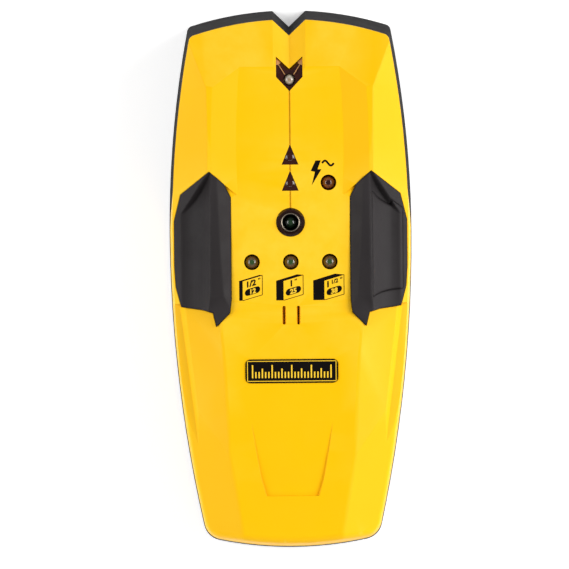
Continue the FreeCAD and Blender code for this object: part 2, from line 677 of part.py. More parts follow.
def button_prism(grow):
    """The button's outline in the YZ plane, run outward from its inner edge and made larger by grow."""
    x0 = GRIP_RIDGE_X - REVEAL
    ring = [(BUTTON_FRONT_Y, BUTTON_TOP_Z), (BUTTON_FRONT_Y - BUTTON_FRONT_LEAN, BUTTON_LOW_Z),
            (BUTTON_REAR_Y + BUTTON_REAR_LEAN, BUTTON_LOW_Z), (BUTTON_REAR_Y, BUTTON_TOP_Z)]
    face = face_of([V(x0, y, z) for y, z in ring])
    face = face.makeOffset2D(grow, 0, False, False, False) if grow else face
    return face.extrude(V(WIDTH - x0, 0, 0))


def grip_pegs(side, grow):
    """The pegs under a grip, which pass through the shell."""
    pegs = [cyl(side * x, y, panel_z(y) - GRIP_T - GRIP_PEG_LEN, panel_z(y) - EDGE_R, GRIP_PEG_R + grow)
            for x, y in GRIP_PEGS]
    return pegs[0].fuse(pegs[1])


def make_grips():
    """Both grips; the right one has the opening for the button."""
    grips = {}
    for side, name in ((-1, "left_grip"), (1, "right_grip")):
        skin = grip_skin(side, 0.0)
        shell = grip_prism(side, 0.0).common(skin).cut(grip_skin(side, GRIP_T))
        pegs = grip_pegs(side, 0.0).cut(grip_prism(side, 0.0).cut(skin))
        grips[name] = shell.fuse(pegs).removeSplitter()
    grips["right_grip"] = grips["right_grip"].cut(button_prism(BUTTON_GAP))
    return grips


def stem_box(x0, x1, half_y, gap):
    """A level bar along X at the plunger's height."""
    half_z = STEM_HALF + gap
    return box(x0, x1, SWITCH_Y - half_y - gap, SWITCH_Y + half_y + gap, PLUNGER_Z - half_z, PLUNGER_Z + half_z)


def make_button():
    """The press button with the stem that reaches the switch."""
    pad = button_prism(0.0).common(grip_skin(1, 0.0)).cut(grip_skin(1, BUTTON_T))
    pad = pad.common(box(BUTTON_IN_X, GRIP_OUT_X - BUTTON_EDGE, -FAR, FAR, 0, FAR))
    x0 = SWITCH_X + SWITCH_DEEP + PLUNGER_OUT + SWITCH_GAP
    stem = stem_box(x0, BUTTON_STEM_X, STEM_HALF, 0.0)
    web = stem_box(BUTTON_WEB_X, BUTTON_STEM_X, BUTTON_WEB_HALF, 0.0)
    return pad.fuse(stem.fuse(web).common(grip_skin(1, BUTTON_T / 2))).removeSplitter()


# ---- outlines of what passes through the roof --------------------------------------------------------


def triangle(y, grow):
    """An arrow window's outline, its base at y."""
    half, tall = ARROW_BASE / 2, ARROW_HEIGHT
    slant = math.hypot(half, tall)
    side = half + grow * (slant + half) / tall
    return [(-side, y - grow), (side, y - grow), (0, y + tall + grow * slant / half)]


def chevron(grow):
    """The marking window's outline: an arrowhead that points back."""
    half, side_y = CHEVRON_HALF + grow, CHEVRON_FRONT_Y - CHEVRON_SIDE
    fall = (side_y - CHEVRON_REAR_Y) / CHEVRON_HALF
    rise = CHEVRON_DIP / CHEVRON_HALF
    tip = CHEVRON_REAR_Y - grow * math.hypot(fall, 1)
    dip = CHEVRON_FRONT_Y - CHEVRON_DIP + grow * math.hypot(rise, 1)
    low, top = tip + fall * half, dip + rise * half
    return [(0, tip), (half, low), (half, top), (0, dip), (-half, top), (-half, low)]


def slot(x, y, length, width, z0, z1):
    """A round-ended slot, long in Y."""
    r, half = width / 2, (length - width) / 2
    ends = [cyl(x, y + s * half, z0, z1, r) for s in SIDES]
    return fuse(ends + [box(x - r, x + r, y - half, y + half, z0, z1)])


def badge_prism(grow):
    """The badge's outline, a round-ended plate, as an upright prism."""
    plate = block(0, BADGE_Y, 0, BADGE_LEN / 2 + grow, BADGE_W / 2 + grow, SKY)
    return plate.makeFillet(BADGE_R, [e for e in plate.Edges if e.BoundBox.ZLength > RIDGE_Z])


def lamp_places():
    """Name, x and y of each lamp that shows through its own round hole."""
    depth = zip(("left", "middle", "right"), (-DEPTH_LAMP_X, 0.0, DEPTH_LAMP_X))
    places = [("depth_lamp_" + name, x, DEPTH_LAMP_Y) for name, x in depth]
    return places + [("ready_lamp", 0.0, READY_Y), ("live_wire_lamp", WARNING_X, WARNING_Y)]


def tongue():
    """What is cut away for the shallow tongue near the rear."""
    right = [(half, REAR_Y + y) for y, half in TONGUE]
    outline = right + [(-x, y) for x, y in reversed(right)]
    y0, y1 = right[0][1], right[-1][1]
    fall = (panel_z(y1) - panel_z(y0) + TONGUE_DEPTH) / (y1 - y0)
    return prism(outline, 0, SKY).common(beyond((0, y1, panel_z(y1)), (0, -fall, 1)))


def roof_openings():
    """Everything that is cut through or into the upper shell's top."""
    cuts = []
    for name, x, y in lamp_places():
        r = LAMP_D / 2 + (READY_BEZEL_W + WINDOW_GAP if name == "ready_lamp" else LAMP_HOLE_GAP)
        cuts.append(cyl(x, y, BOARD_TOP_Z + EDGE_R, SKY, r))
    cuts += [prism(triangle(y, WINDOW_GAP), BOARD_TOP_Z + EDGE_R, SKY) for y in ARROW_Y]
    cuts.append(prism(chevron(WINDOW_GAP), BOARD_TOP_Z + EDGE_R, SKY))
    for side in SIDES:
        cuts.append(slot(side * SLOT_X, SLOT_Y, SLOT_LEN, SLOT_W, panel_z(SLOT_Y) - SLOT_DEPTH, SKY))
        cuts.append(slot(side * SLOT_X, SLOT_Y, SLOT_LEN, SLIT_W, BOARD_TOP_Z, SKY))
    line = box(-LINE_W / 2, LINE_W / 2, READY_Y + LINE_START, CHEVRON_REAR_Y + LINE_W, 0, SKY)
    cuts.append(line.cut(arch(-LINE_DEPTH, 0.0)))
    cuts.append(badge_prism(WINDOW_GAP).cut(arch(-BADGE_SINK, 0.0)))
    cuts.append(tongue())
    return cuts


# ---- shells ----------------------------------------------------------------------------------------


def case_screw_tip(y):
    """Height of the tip of the case screw at y."""
    return CASE_SCREW_TIP[0] if y > 0 else CASE_SCREW_TIP[1]


def make_top(outer, cavity):
    """The upper shell."""
    shell = outer.cut(cavity)
    inner = envelope(WALL / 4)
    backs = []
    for side in SIDES:
        seat = grip_prism(side, GRIP_GAP).cut(grip_skin(side, GRIP_T + GRIP_GAP))
        rim = outer.common(grip_prism(side, GRIP_RIM)).common(grip_skin(side, GRIP_T + GRIP_GAP))
        backs.append(rim.cut(grip_skin(side, GRIP_T + GRIP_GAP + GRIP_BACKING)))
        shell = shell.cut(seat)
        inner = inner.cut(seat)
    posts = [cyl(x, y, CASE_POST_TOP_Z + WINDOW_GAP, SKY, CASE_POST_R) for x, y in both_sides(CASE_SCREWS)]
    bosses = [cyl(x, y, BOARD_TOP_Z, SKY, BOARD_BOSS_R) for x, y in both_sides(BOARD_SCREWS)]
    bosses += [block(0, BATTERY_REAR_Y + step, BATTERY_TOP_Z + RIB_GAP, *RIB_HALF, SKY) for step in RIB_STEP]
    clear = envelope(WALL + LIP_T + 2 * LIP_GAP)
    shell = fuse([shell] + backs + [boss.common(inner) for boss in posts + bosses])
    shell = fuse([shell.cut(parting(REVEAL))] + [post.common(clear) for post in posts])
    cuts = roof_openings()
    cuts += [cyl(x, y, 0, case_screw_tip(y) + CASE_HOLE_END, CASE_SCREW_R + THREAD_GAP)
             for x, y in both_sides(CASE_SCREWS)]
    cuts += [cyl(x, y, 0, BOARD_TOP_Z + BOARD_SCREW_IN + 1, BOARD_SCREW_R + THREAD_GAP)
             for x, y in both_sides(BOARD_SCREWS)]
    cuts += [grip_pegs(side, GRIP_PEG_GAP) for side in SIDES]
    cuts.append(button_prism(BUTTON_GAP + GRIP_GAP).common(grip_prism(1, GRIP_GAP)))
    cuts.append(stem_box(SWITCH_X, SIDE_X, STEM_HALF, STEM_GAP))
    for cut in cuts:
        shell = shell.cut(cut)
    return shell


def ring_wall(gap, low, high):
    """A thin wall that follows the inside of the shell, between two heights at the parting line."""
    wall = envelope(WALL + gap).cut(envelope(WALL + LIP_GAP + LIP_T))
    return wall.common(parting(high)).cut(parting(low))


def make_base(outer, cavity):
    """The lower shell with its bay, posts and lip."""
    hollow = cavity.common(box(-FAR, FAR, -FAR, FAR, FLOOR, FAR))
    shell = outer.common(parting(0.0)).cut(hollow)
    lip = ring_wall(LIP_GAP, -WALL, LIP_RISE).fuse(ring_wall(-LIP_T / 2, -WALL, -LIP_GAP))
    for side in SIDES:
        lip = lip.cut(grip_prism(side, GRIP_RIM + REVEAL).common(box(-FAR, FAR, -FAR, FAR, PART_LOW_Z + 4, FAR)))
    for x, y in both_sides(CASE_SCREWS):
        lip = lip.cut(cyl(x, y, CASE_POST_TOP_Z, SKY, CASE_POST_R + LIP_GAP))
    half = DOOR_HALF + DOOR_GAP
    y0, y1 = DOOR_REAR_Y - DOOR_GAP, DOOR_HINGE_Y + DOOR_T / 2 + DOOR_GAP
    back, front = BATTERY_REAR_Y - BAY_GAP, DOOR_HINGE_Y - DOOR_T / 2
    low, high = FLOOR + DOOR_GAP + LIP_T / 2, BATTERY_TOP_Z - BAY_TUCK
    side_wall = box(half, half + BAY_WALL, back - BAY_WALL, y1, 0, high)
    walls = [mirror(side_wall, side) for side in SIDES]
    walls.append(box(-half - 1, half + 1, back - BAY_WALL, back, low, high))
    walls.append(box(-half - 1, half + 1, front - BAY_WALL, front, low, CASE_POST_TOP_Z))
    room = envelope(REVEAL).common(parting(0.0)).fuse(envelope(WALL + LIP_GAP))
    posts = [cyl(x, y, 0, CASE_POST_TOP_Z, CASE_POST_R).common(room) for x, y in both_sides(CASE_SCREWS)]
    for x, y in both_sides(SENSOR_POSTS):
        posts.append(cyl(x, y, FLOOR - REVEAL, SENSOR_Z, SENSOR_POST_R))
        posts.append(cyl(x, y, FLOOR, SENSOR_Z + BOARD_T + LIP_T, SENSOR_PIN_R))
    shell = fuse([shell, lip] + posts + walls)
    cuts = [prism(chevron(REVEAL + LIP_GAP), SENSOR_Z + BOARD_T, SKY),
            box(-half, half, y0, y1, -1, low - LIP_GAP),
            box(-NAIL_HALF, NAIL_HALF, y0 - NAIL_LEN, y0 + 1, -1, NAIL_DEPTH)]
    reach = half + HINGE_PIN_LEN
    cuts.append(rod_x(-reach, reach, DOOR_HINGE_Y, DOOR_T / 2, HINGE_PIN_R + HINGE_PIN_GAP))
    for x, y in both_sides(CASE_SCREWS):
        cuts.append(cyl(x, y, -1, CASE_POST_TOP_Z + 1, CASE_SCREW_R + SCREW_GAP))
        cuts.append(cyl(x, y, -1, CASE_HEAD_Z + CASE_HEAD_H, CASE_HEAD_R + SCREW_GAP))
    for cut in cuts:
        shell = shell.cut(cut)
    return shell


def make_door():
    """The battery door: a plate with a round hinge edge, two pins, a latch tongue and grip ribs."""
    half = DOOR_HALF
    reach = half + DOOR_GAP + HINGE_PIN_LEN - HINGE_PIN_GAP
    plate = box(-half, half, DOOR_REAR_Y, DOOR_HINGE_Y, 0, DOOR_T)
    bead = rod_x(-half, half, DOOR_HINGE_Y, DOOR_T / 2, DOOR_T / 2)
    pins = rod_x(-reach, reach, DOOR_HINGE_Y, DOOR_T / 2, HINGE_PIN_R)
    latch = box(-LATCH_HALF, LATCH_HALF, DOOR_REAR_Y, DOOR_REAR_Y + LATCH_T, DOOR_T / 2, DOOR_T + LATCH_H)
    nose = box(-LATCH_HALF, LATCH_HALF, DOOR_REAR_Y - LATCH_NOSE, DOOR_REAR_Y + LATCH_T / 2,
               DOOR_T + LATCH_H - 2 * LATCH_T, DOOR_T + LATCH_H - LATCH_T)
    door = fuse([plate, bead, pins, latch, nose])
    rib_half, rib_w, rib_deep = DOOR_RIB
    for i in range(DOOR_RIBS):
        y = DOOR_REAR_Y + DOOR_RIB_PITCH * (i + 2)
        door = door.cut(block(0, y, -rib_deep, rib_half, rib_w / 2, 2 * rib_deep))
    return door


# ---- boards, lamps and what stands on them ---------------------------------------------------------


def lamp(x, y, d, tall, seat):
    """A round-nosed lamp on its seat, with a flange and two leads that go through the board."""
    r = d / 2
    nose = Part.makeSphere(r, V(x, y, seat + tall - r)).cut(box(-FAR, FAR, -FAR, FAR, 0, seat))
    flange = cyl(x, y, seat, seat + LAMP_FLANGE_H, r + LAMP_FLANGE)
    low = seat - BOARD_T - LAMP_LEAD_OUT
    leads = [block(x + s * LAMP_LEAD_X, y, low, LAMP_LEAD_HALF, LAMP_LEAD_HALF, seat - low + LAMP_LEAD_HALF)
             for s in SIDES]
    return fuse([cyl(x, y, seat, seat + tall - r, r), nose, flange] + leads)


def arrow_lamp_y(y):
    """Where the lamp behind an arrow window stands."""
    return y + ARROW_HEIGHT * ARROW_MIDDLE


def make_boards():
    """The lamp board, the sensor board and what joins them."""
    low = BOARD_TOP_Z - BOARD_T
    main = box(-BOARD_HALF, BOARD_HALF, BOARD_REAR_Y, BOARD_FRONT_Y, low, BOARD_TOP_Z)
    main = main.makeFillet(BOARD_CORNER_R, [e for e in main.Edges if e.BoundBox.ZLength > BOARD_T / 2])
    places = [(x, y) for _, x, y in lamp_places()] + [(0.0, MARK_LAMP_Y)]
    places += [(0.0, arrow_lamp_y(y)) for y in ARROW_Y]
    holes = [cyl(x + s * LAMP_LEAD_X, y, 0, SKY, LAMP_LEAD_HOLE_R) for x, y in places for s in SIDES]
    holes += [cyl(x, y, 0, SKY, BOARD_SCREW_R + SCREW_GAP) for x, y in both_sides(BOARD_SCREWS)]
    for hole in holes:
        main = main.cut(hole)
    sensor = box(-SENSOR_HALF, SENSOR_HALF, SENSOR_REAR_Y, SENSOR_FRONT_Y, SENSOR_Z, SENSOR_Z + BOARD_T)
    for x, y in both_sides(SENSOR_POSTS):
        sensor = sensor.cut(cyl(x, y, 0, SKY, SENSOR_PIN_R + SENSOR_PIN_GAP))
    for x, y in both_sides(CASE_SCREWS[:1]):
        sensor = sensor.cut(cyl(x, y, 0, SKY, CASE_POST_R + STEM_GAP))
    outer_plate = (PLATE_HALF + PLATE_GAP, SENSOR_HALF - PLATE_EDGE)
    spans = [(-outer_plate[1], -outer_plate[0]), (-PLATE_HALF, PLATE_HALF), outer_plate]
    plates = [box(x0, x1, *PLATE_Y, SENSOR_Z - PLATE_T, SENSOR_Z) for x0, x1 in spans]
    link_x = [LINK_PITCH * (i - (LINK_PINS - 1) / 2) for i in range(LINK_PINS)]
    top_of_sensor = SENSOR_Z + BOARD_T
    pins = [block(x, LINK_Y, top_of_sensor, LINK_PIN_HALF, LINK_PIN_HALF, low - top_of_sensor) for x in link_x]
    deep, z0, z1 = LINK_BLOCK
    link = fuse([block(0, LINK_Y, z0, LINK_PITCH * LINK_PINS / 2, deep, z1 - z0)] + pins)
    parts = [cyl(CAPACITOR_X, y, BOARD_TOP_Z, BOARD_TOP_Z + CAPACITOR_H, CAPACITOR_R) for y in CAPACITOR_Y]
    long, wide, tall = RESISTOR
    parts += [block(RESISTOR_PITCH * (i - (RESISTORS - 1) / 2), RESISTOR_Y, BOARD_TOP_Z, long / 2, wide / 2, tall)
              for i in range(RESISTORS)]
    return {
        "lamp_board": main,
        "sensor_board": sensor,
        "sensor_plates": Part.makeCompound(plates),
        "board_link": link,
        "board_parts": Part.makeCompound(parts),
        "controller_chip": Part.makeBox(*CHIP, V(CHIP_X, CHIP_Y, BOARD_TOP_Z)),
        "sounder": cyl(0, SLOT_Y, BOARD_TOP_Z, BOARD_TOP_Z + SOUNDER_H, SOUNDER_D / 2),
    }


def make_lamps():
    """Every lamp, the bezel of the ready lamp and the smoked windows."""
    seat = BOARD_TOP_Z
    made = {name: lamp(x, y, LAMP_D, LAMP_H, seat) for name, x, y in lamp_places()}
    bore = LAMP_D / 2 + READY_GAP
    roof, top = panel_z(READY_Y), panel_z(READY_Y) + READY_BEZEL_RISE
    ring = cyl(0, READY_Y, roof - WALL, top, LAMP_D / 2 + READY_BEZEL_W)
    ring = ring.makeChamfer(READY_RIM, [e for e in ring.Edges if e.BoundBox.ZMin > roof])
    ring = ring.cut(cyl(0, READY_Y, 0, SKY, bore))
    made["ready_bezel"] = ring.cut(Part.makeCone(bore, bore + READY_TAPER, READY_TAPER,
                                                 V(0, READY_Y, top - READY_TAPER)))
    for name, y in zip(("front", "rear"), ARROW_Y):
        made["arrow_window_" + name] = prism(triangle(y, 0.0), panel_z(y) - ARROW_DEEP, SKY).common(
            arch(-ARROW_SINK, 0.0))
        made["arrow_lamp_" + name] = lamp(0.0, arrow_lamp_y(y), ARROW_LAMP_D, ARROW_LAMP_H, seat)
    window = prism(chevron(0.0), 0, SKY).common(envelope(CHEVRON_SINK)).cut(envelope(CHEVRON_SINK + CHEVRON_T))
    made["marking_window"] = window.cut(cyl(0, MARK_LAMP_Y, 0, SKY, MARK_LAMP_D / 2 + SCREW_GAP))
    made["marking_lamp"] = lamp(0.0, MARK_LAMP_Y, MARK_LAMP_D, MARK_LAMP_H, seat)
    return made


def make_switch():
    """The switch body and its plunger, which the button's stem presses."""
    x1 = SWITCH_X + SWITCH_DEEP
    body = box(SWITCH_X, x1, SWITCH_Y - SWITCH_HALF, SWITCH_Y + SWITCH_HALF, BOARD_TOP_Z, BOARD_TOP_Z + SWITCH_H)
    deep = x1 - PLUNGER_IN - PLUNGER_TRAVEL - PLUNGER_GAP
    body = body.cut(rod_x(deep, x1, SWITCH_Y, PLUNGER_Z, PLUNGER_R + PLUNGER_GAP))
    return {"switch_body": body, "switch_plunger": rod_x(x1 - PLUNGER_IN, x1 + PLUNGER_OUT, SWITCH_Y, PLUNGER_Z,
                                                         PLUNGER_R)}


# ---- battery, clip and leads -----------------------------------------------------------------------


def make_battery():
    """The block battery with its studs, the clip that snaps on and the foam on the door."""
    wide, long, tall = BATTERY
    y1, z = BATTERY_FRONT_Y, BATTERY_Z + tall / 2
    case = box(-wide / 2, wide / 2, BATTERY_REAR_Y, y1, BATTERY_Z, BATTERY_TOP_Z)
    case = case.makeFillet(BATTERY_EDGE_R, [e for e in case.Edges if e.BoundBox.YLength > long / 2])
    studs, rings = [], []
    for x, r in zip((STUD_X, -STUD_X), STUD_R):
        studs.append(Part.makeCylinder(r, STUD_LEN, V(x, y1, z), V(0, 1, 0)))
        sleeve = Part.makeCylinder(r + CONTACT_WALL, CONTACT_LEN, V(x, y1 + STUD_LEN - CONTACT_LEN, z), V(0, 1, 0))
        rings.append(sleeve.cut(Part.makeCylinder(r + WINDOW_GAP, 2 * STUD_LEN, V(x, y1, z), V(0, 1, 0))))
    clip_w, clip_t, clip_h = CLIP
    clip = block(0, y1 + STUD_LEN + clip_t / 2, z - clip_h / 2, clip_w / 2, clip_t / 2, clip_h)
    clip = clip.makeFillet(CLIP_EDGE_R, [e for e in clip.Edges if e.BoundBox.YLength > clip_t / 2])
    return {
        "battery_block": case,
        "battery_studs": Part.makeCompound(studs),
        "clip_contacts": Part.makeCompound(rings),
        "battery_clip": clip,
        "battery_foam": box(-FOAM_HALF, FOAM_HALF, BATTERY_REAR_Y + FOAM_IN, y1 - FOAM_IN, DOOR_T,
                            BATTERY_Z - FOAM_GAP),
    }


def lead(side):
    """A round lead that runs forward from the clip and turns up to the lamp board."""
    x = side * LEAD_X
    (y0, y1), (z0, z1) = LEAD_Y, LEAD_Z
    turn = (z1 - z0) / 2
    start, bend, rise, end = V(x, y0, z0), V(x, y1 - turn, z0), V(x, y1, z0 + turn), V(x, y1, z1)
    middle = V(x, y1 - turn + turn * math.sin(math.pi / 4), z0 + turn - turn * math.cos(math.pi / 4))
    path = Part.Wire([Part.makeLine(start, bend), Part.Arc(bend, middle, rise).toShape(), Part.makeLine(rise, end)])
    ring = Part.Wire([Part.Circle(start, V(0, 1, 0), LEAD_D / 2).toShape()])
    return path.makePipeShell([ring], True, False)


def make_screws():
    """The case screws from below and the board screws, each as a group."""
    case, board = [], []
    arm, half, deep = CROSS
    for x, y in both_sides(CASE_SCREWS):
        z = CASE_HEAD_Z
        head = cyl(x, y, z, z + CASE_HEAD_H, CASE_HEAD_R)
        head = head.cut(block(x, y, 0, arm, half, z + deep)).cut(block(x, y, 0, half, arm, z + deep))
        case.append(head.fuse(cyl(x, y, z + CASE_HEAD_H, case_screw_tip(y), CASE_SCREW_R)).removeSplitter())
    low = BOARD_TOP_Z - BOARD_T
    arm, half, deep = BOARD_SLIT
    for x, y in both_sides(BOARD_SCREWS):
        head = cyl(x, y, low - BOARD_HEAD_H, low, BOARD_HEAD_R)
        head = head.cut(block(x, y, low - BOARD_HEAD_H - 1, arm, half, deep + 1))
        board.append(head.fuse(cyl(x, y, low, BOARD_TOP_Z + BOARD_SCREW_IN, BOARD_SCREW_R)).removeSplitter())
    return {"case_screws": Part.makeCompound(case), "board_screws": Part.makeCompound(board)}


def make_badge():
    """The badge plate, sunk a little into the top."""
    return badge_prism(0.0).common(arch(BADGE_T - BADGE_SINK, 0.0)).cut(arch(-BADGE_SINK, 0.0))


def main():
    """Build every piece and write it."""
    outer = round_body(envelope(0.0))
    cavity = envelope(WALL)
    nodes = {"top_housing": make_top(outer, cavity), "base_housing": make_base(outer, cavity)}
    nodes.update(make_grips())
    nodes["side_button"] = make_button()
    nodes["battery_door"] = make_door()
    nodes["name_badge"] = make_badge()
    for group in (make_boards(), make_lamps(), make_switch(), make_battery(), make_screws()):
        nodes.update(group)
    nodes["battery_lead_red"] = lead(1)
    nodes["battery_lead_black"] = lead(-1)
    os.makedirs("parts", exist_ok=True)
    for name, shape in nodes.items():
        print(name, "valid" if shape.isValid() else "NOT VALID", len(shape.Solids), round(shape.Volume, 1))
        shape.exportStep("parts/%s.step" % name)


main()
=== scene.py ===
"""Stud finder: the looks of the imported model, built piece by piece around its frame.

Every length is in metres unless a name says mm. The frame's origin is the bottom centre of the tool,
+Z is up out of the lamp face, +Y points to the notched end and +X to the side with the press button.
"""

import json
import logging
import math
from dataclasses import dataclass
from enum import Enum

import bmesh
import bpy
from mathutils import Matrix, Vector
from mathutils.bvhtree import BVHTree
from mathutils.geometry import tessellate_polygon


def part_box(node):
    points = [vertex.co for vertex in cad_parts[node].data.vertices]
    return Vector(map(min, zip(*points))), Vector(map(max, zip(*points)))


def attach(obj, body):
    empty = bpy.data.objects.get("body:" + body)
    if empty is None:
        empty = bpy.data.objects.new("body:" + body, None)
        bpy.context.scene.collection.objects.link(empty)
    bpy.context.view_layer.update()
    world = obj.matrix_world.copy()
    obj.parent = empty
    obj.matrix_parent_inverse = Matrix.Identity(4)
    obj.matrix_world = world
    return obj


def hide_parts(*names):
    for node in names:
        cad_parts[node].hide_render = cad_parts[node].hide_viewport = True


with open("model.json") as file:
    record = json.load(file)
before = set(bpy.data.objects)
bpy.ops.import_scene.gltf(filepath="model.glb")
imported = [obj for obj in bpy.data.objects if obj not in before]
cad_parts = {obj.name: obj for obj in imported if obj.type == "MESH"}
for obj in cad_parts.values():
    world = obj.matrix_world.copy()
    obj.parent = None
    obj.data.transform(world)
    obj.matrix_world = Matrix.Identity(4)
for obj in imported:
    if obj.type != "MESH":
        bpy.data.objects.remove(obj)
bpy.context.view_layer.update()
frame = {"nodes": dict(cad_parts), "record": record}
LOG = logging.getLogger("stud_finder")
MM = 0.001
ROOT = "root"

# ---------------------------------------------------------------------------------------------------
# Colours and node helpers
# ---------------------------------------------------------------------------------------------------


def linear(hex_colour: str) -> tuple[float, float, float, float]:
    """Turn an sRGB hex colour into linear values.

    Args:
        hex_colour: six hex digits, with or without a leading #.

    Returns:
        Red, green, blue and an alpha of 1, all linear.
    """
    digits = hex_colour.lstrip("#")
    channels = [int(digits[i : i + 2], 16) / 255 for i in (0, 2, 4)]
    return tuple(c / 12.92 if c <= 0.04045 else ((c + 0.055) / 1.055) ** 2.4 for c in channels) + (1.0,)


def add(tree: bpy.types.NodeTree, kind: str, settings: dict, links: dict) -> bpy.types.Node:
    """Add one node with its settings and links.

    Args:
        tree: the node tree that gets the node.
        kind: the node's type, without the ShaderNode in front.
        settings: values for its properties, or for its input sockets by name or number.
        links: output sockets to join to its input sockets, by name or number.

    Returns:
        The new node.
    """
    node = tree.nodes.new("ShaderNode" + kind)
    for key, value in settings.items():
        if isinstance(key, str) and hasattr(node, key):
            setattr(node, key, value)
        else:
            node.inputs[key].default_value = value
    for key, socket in links.items():
        tree.links.new(socket, node.inputs[key])
    return node


def ramp(node: bpy.types.Node, stops: list[tuple[float, tuple]]) -> bpy.types.Node:
    """Set a colour ramp's stops.

    Args:
        node: a ValToRGB node.
        stops: pairs of place and colour, in order.

    Returns:
        The same node.
    """
    bar = node.color_ramp
    while len(bar.elements) < len(stops):
        bar.elements.new(1.0)
    for element, (place, colour) in zip(bar.elements, stops):
        element.position = place
        element.color = colour
    return node


def grey(value: float) -> tuple[float, float, float, float]:
    """A neutral linear colour of one brightness."""
    return (value, value, value, 1.0)


# ---------------------------------------------------------------------------------------------------
# Finishes
# ---------------------------------------------------------------------------------------------------


@dataclass(frozen=True)
class MouldedPlastic:
    """A pigmented injection-moulded plastic with the fine grain of a spark-eroded mould.

    The grain breaks up the highlight into a soft satin, and edges that hands rub are a little smoother
    and lighter than the flats.
    """

    name: str
    colour: str
    worn: str
    roughness: float
    grain_mm: float
    grain_depth_mm: float
    ior: float = 1.53
    mottle: float = 0.05
    edge_mm: float = 0.25
    sheen: float = 0.0
    specular: float = 0.5

    def make(self) -> bpy.types.Material:
        """Build the material.

        Returns:
            The finished material.
        """
        material = bpy.data.materials.new(self.name)
        material.use_nodes = True
        tree = material.node_tree
        tree.nodes.clear()
        place = add(tree, "TexCoord", {}, {}).outputs["Object"]
        cloud = add(tree, "TexNoise", {"Scale": 45.0, "Detail": 3.0, "Roughness": 0.5}, {"Vector": place})
        grain_scale = 1.0 / (self.grain_mm * MM)
        grain = add(
            tree, "TexNoise", {"Scale": grain_scale, "Detail": 2.0, "Roughness": 0.6}, {"Vector": place}
        )
        smudge = add(tree, "TexNoise", {"Scale": 160.0, "Detail": 4.0, "Roughness": 0.65}, {"Vector": place})
        edges = add(tree, "NewGeometry", {}, {}).outputs["Pointiness"]
        rub = ramp(add(tree, "ValToRGB", {}, {"Fac": edges}), [(0.53, grey(0.0)), (0.62, grey(1.0))])
        worn_here = add(
            tree, "Math", {"operation": "MULTIPLY"}, {0: rub.outputs["Color"], 1: smudge.outputs["Fac"]}
        )
        base, worn = linear(self.colour), linear(self.worn)
        dark = tuple(c * (1 - self.mottle) for c in base[:3]) + (1.0,)
        light = tuple(min(1.0, c * (1 + self.mottle)) for c in base[:3]) + (1.0,)
        tone = ramp(add(tree, "ValToRGB", {}, {"Fac": cloud.outputs["Fac"]}), [(0.35, dark), (0.65, light)])
        colour = add(
            tree, "Mix", {"data_type": "RGBA", 7: worn}, {0: worn_here.outputs[0], 6: tone.outputs["Color"]}
        )
        rough = add(
            tree, "MapRange",
            {"From Min": 0.3, "From Max": 0.7, "To Min": self.roughness - 0.05,
             "To Max": self.roughness + 0.07},
            {"Value": smudge.outputs["Fac"]},
        )
        rounded = add(tree, "Bevel", {"samples": 6, "Radius": self.edge_mm * MM}, {})
        bump = add(
            tree, "Bump", {"Strength": 0.55, "Distance": self.grain_depth_mm * MM},
            {"Height": grain.outputs["Fac"], "Normal": rounded.outputs["Normal"]},
        )
        shader = add(
            tree, "BsdfPrincipled",
            {"IOR": self.ior, "Sheen Weight": self.sheen, "Specular IOR Level": self.specular},
            {"Base Color": colour.outputs[2], "Roughness": rough.outputs["Result"],
             "Normal": bump.outputs["Normal"]},
        )
        add(tree, "OutputMaterial", {}, {"Surface": shader.outputs["BSDF"]})
        return material


@dataclass(frozen=True)
class CastResin:
    """A cast epoxy or acrylic, clear or tinted: glossy, with faint flow marks and a body colour.

    The body colour shows through the gloss and turns to the deep colour toward the rim as the surface turns
    from view, a painted shade for the dark ring round each lens; the core colour, where one is given, shows
    only in the middle.
    """

    name: str
    colour: str
    # deep: the colour toward the rim, a painted shade
    deep: str
    transmission: float
    roughness: float = 0.06
    ior: float = 1.52
    core: str = ""  # colour of the middle, where the resin is seen square on

    def make(self) -> bpy.types.Material:
        """Build the material.

        Returns:
            The finished material.
        """
        material = bpy.data.materials.new(self.name)
        material.use_nodes = True
        tree = material.node_tree
        tree.nodes.clear()
        place = add(tree, "TexCoord", {}, {}).outputs["Object"]
        flow = add(tree, "TexNoise", {"Scale": 700.0, "Detail": 3.0, "Distortion": 0.6}, {"Vector": place})
        # painted shade: the colour turns darker toward the rim as the surface turns from view
        facing = add(tree, "LayerWeight", {"Blend": 0.35}, {})
        tint_and_painted_rim_shade = ramp(
            add(tree, "ValToRGB", {}, {"Fac": facing.outputs["Facing"]}),
            [(0.02, linear(self.core or self.colour)), (0.06, linear(self.colour)),
             (0.14, linear(self.colour)), (0.4, linear(self.deep))],
        )
        stain = add(
            tree, "Mix", {"data_type": "RGBA", "blend_type": "MULTIPLY", 0: 0.25},
            {6: tint_and_painted_rim_shade.outputs["Color"], 7: flow.outputs["Color"]},
        )
        rough = add(
            tree, "MapRange", {"To Min": self.roughness, "To Max": self.roughness + 0.06},
            {"Value": flow.outputs["Fac"]},
        )
        bump = add(tree, "Bump", {"Strength": 0.15, "Distance": 0.02 * MM}, {"Height": flow.outputs["Fac"]})
        shader = add(
            tree, "BsdfPrincipled",
            {"IOR": self.ior, "Transmission Weight": self.transmission, "Coat Weight": 0.5},
            {"Base Color": stain.outputs[2], "Roughness": rough.outputs["Result"],
             "Normal": bump.outputs["Normal"]},
        )
        add(tree, "OutputMaterial", {}, {"Surface": shader.outputs["BSDF"]})
        return material


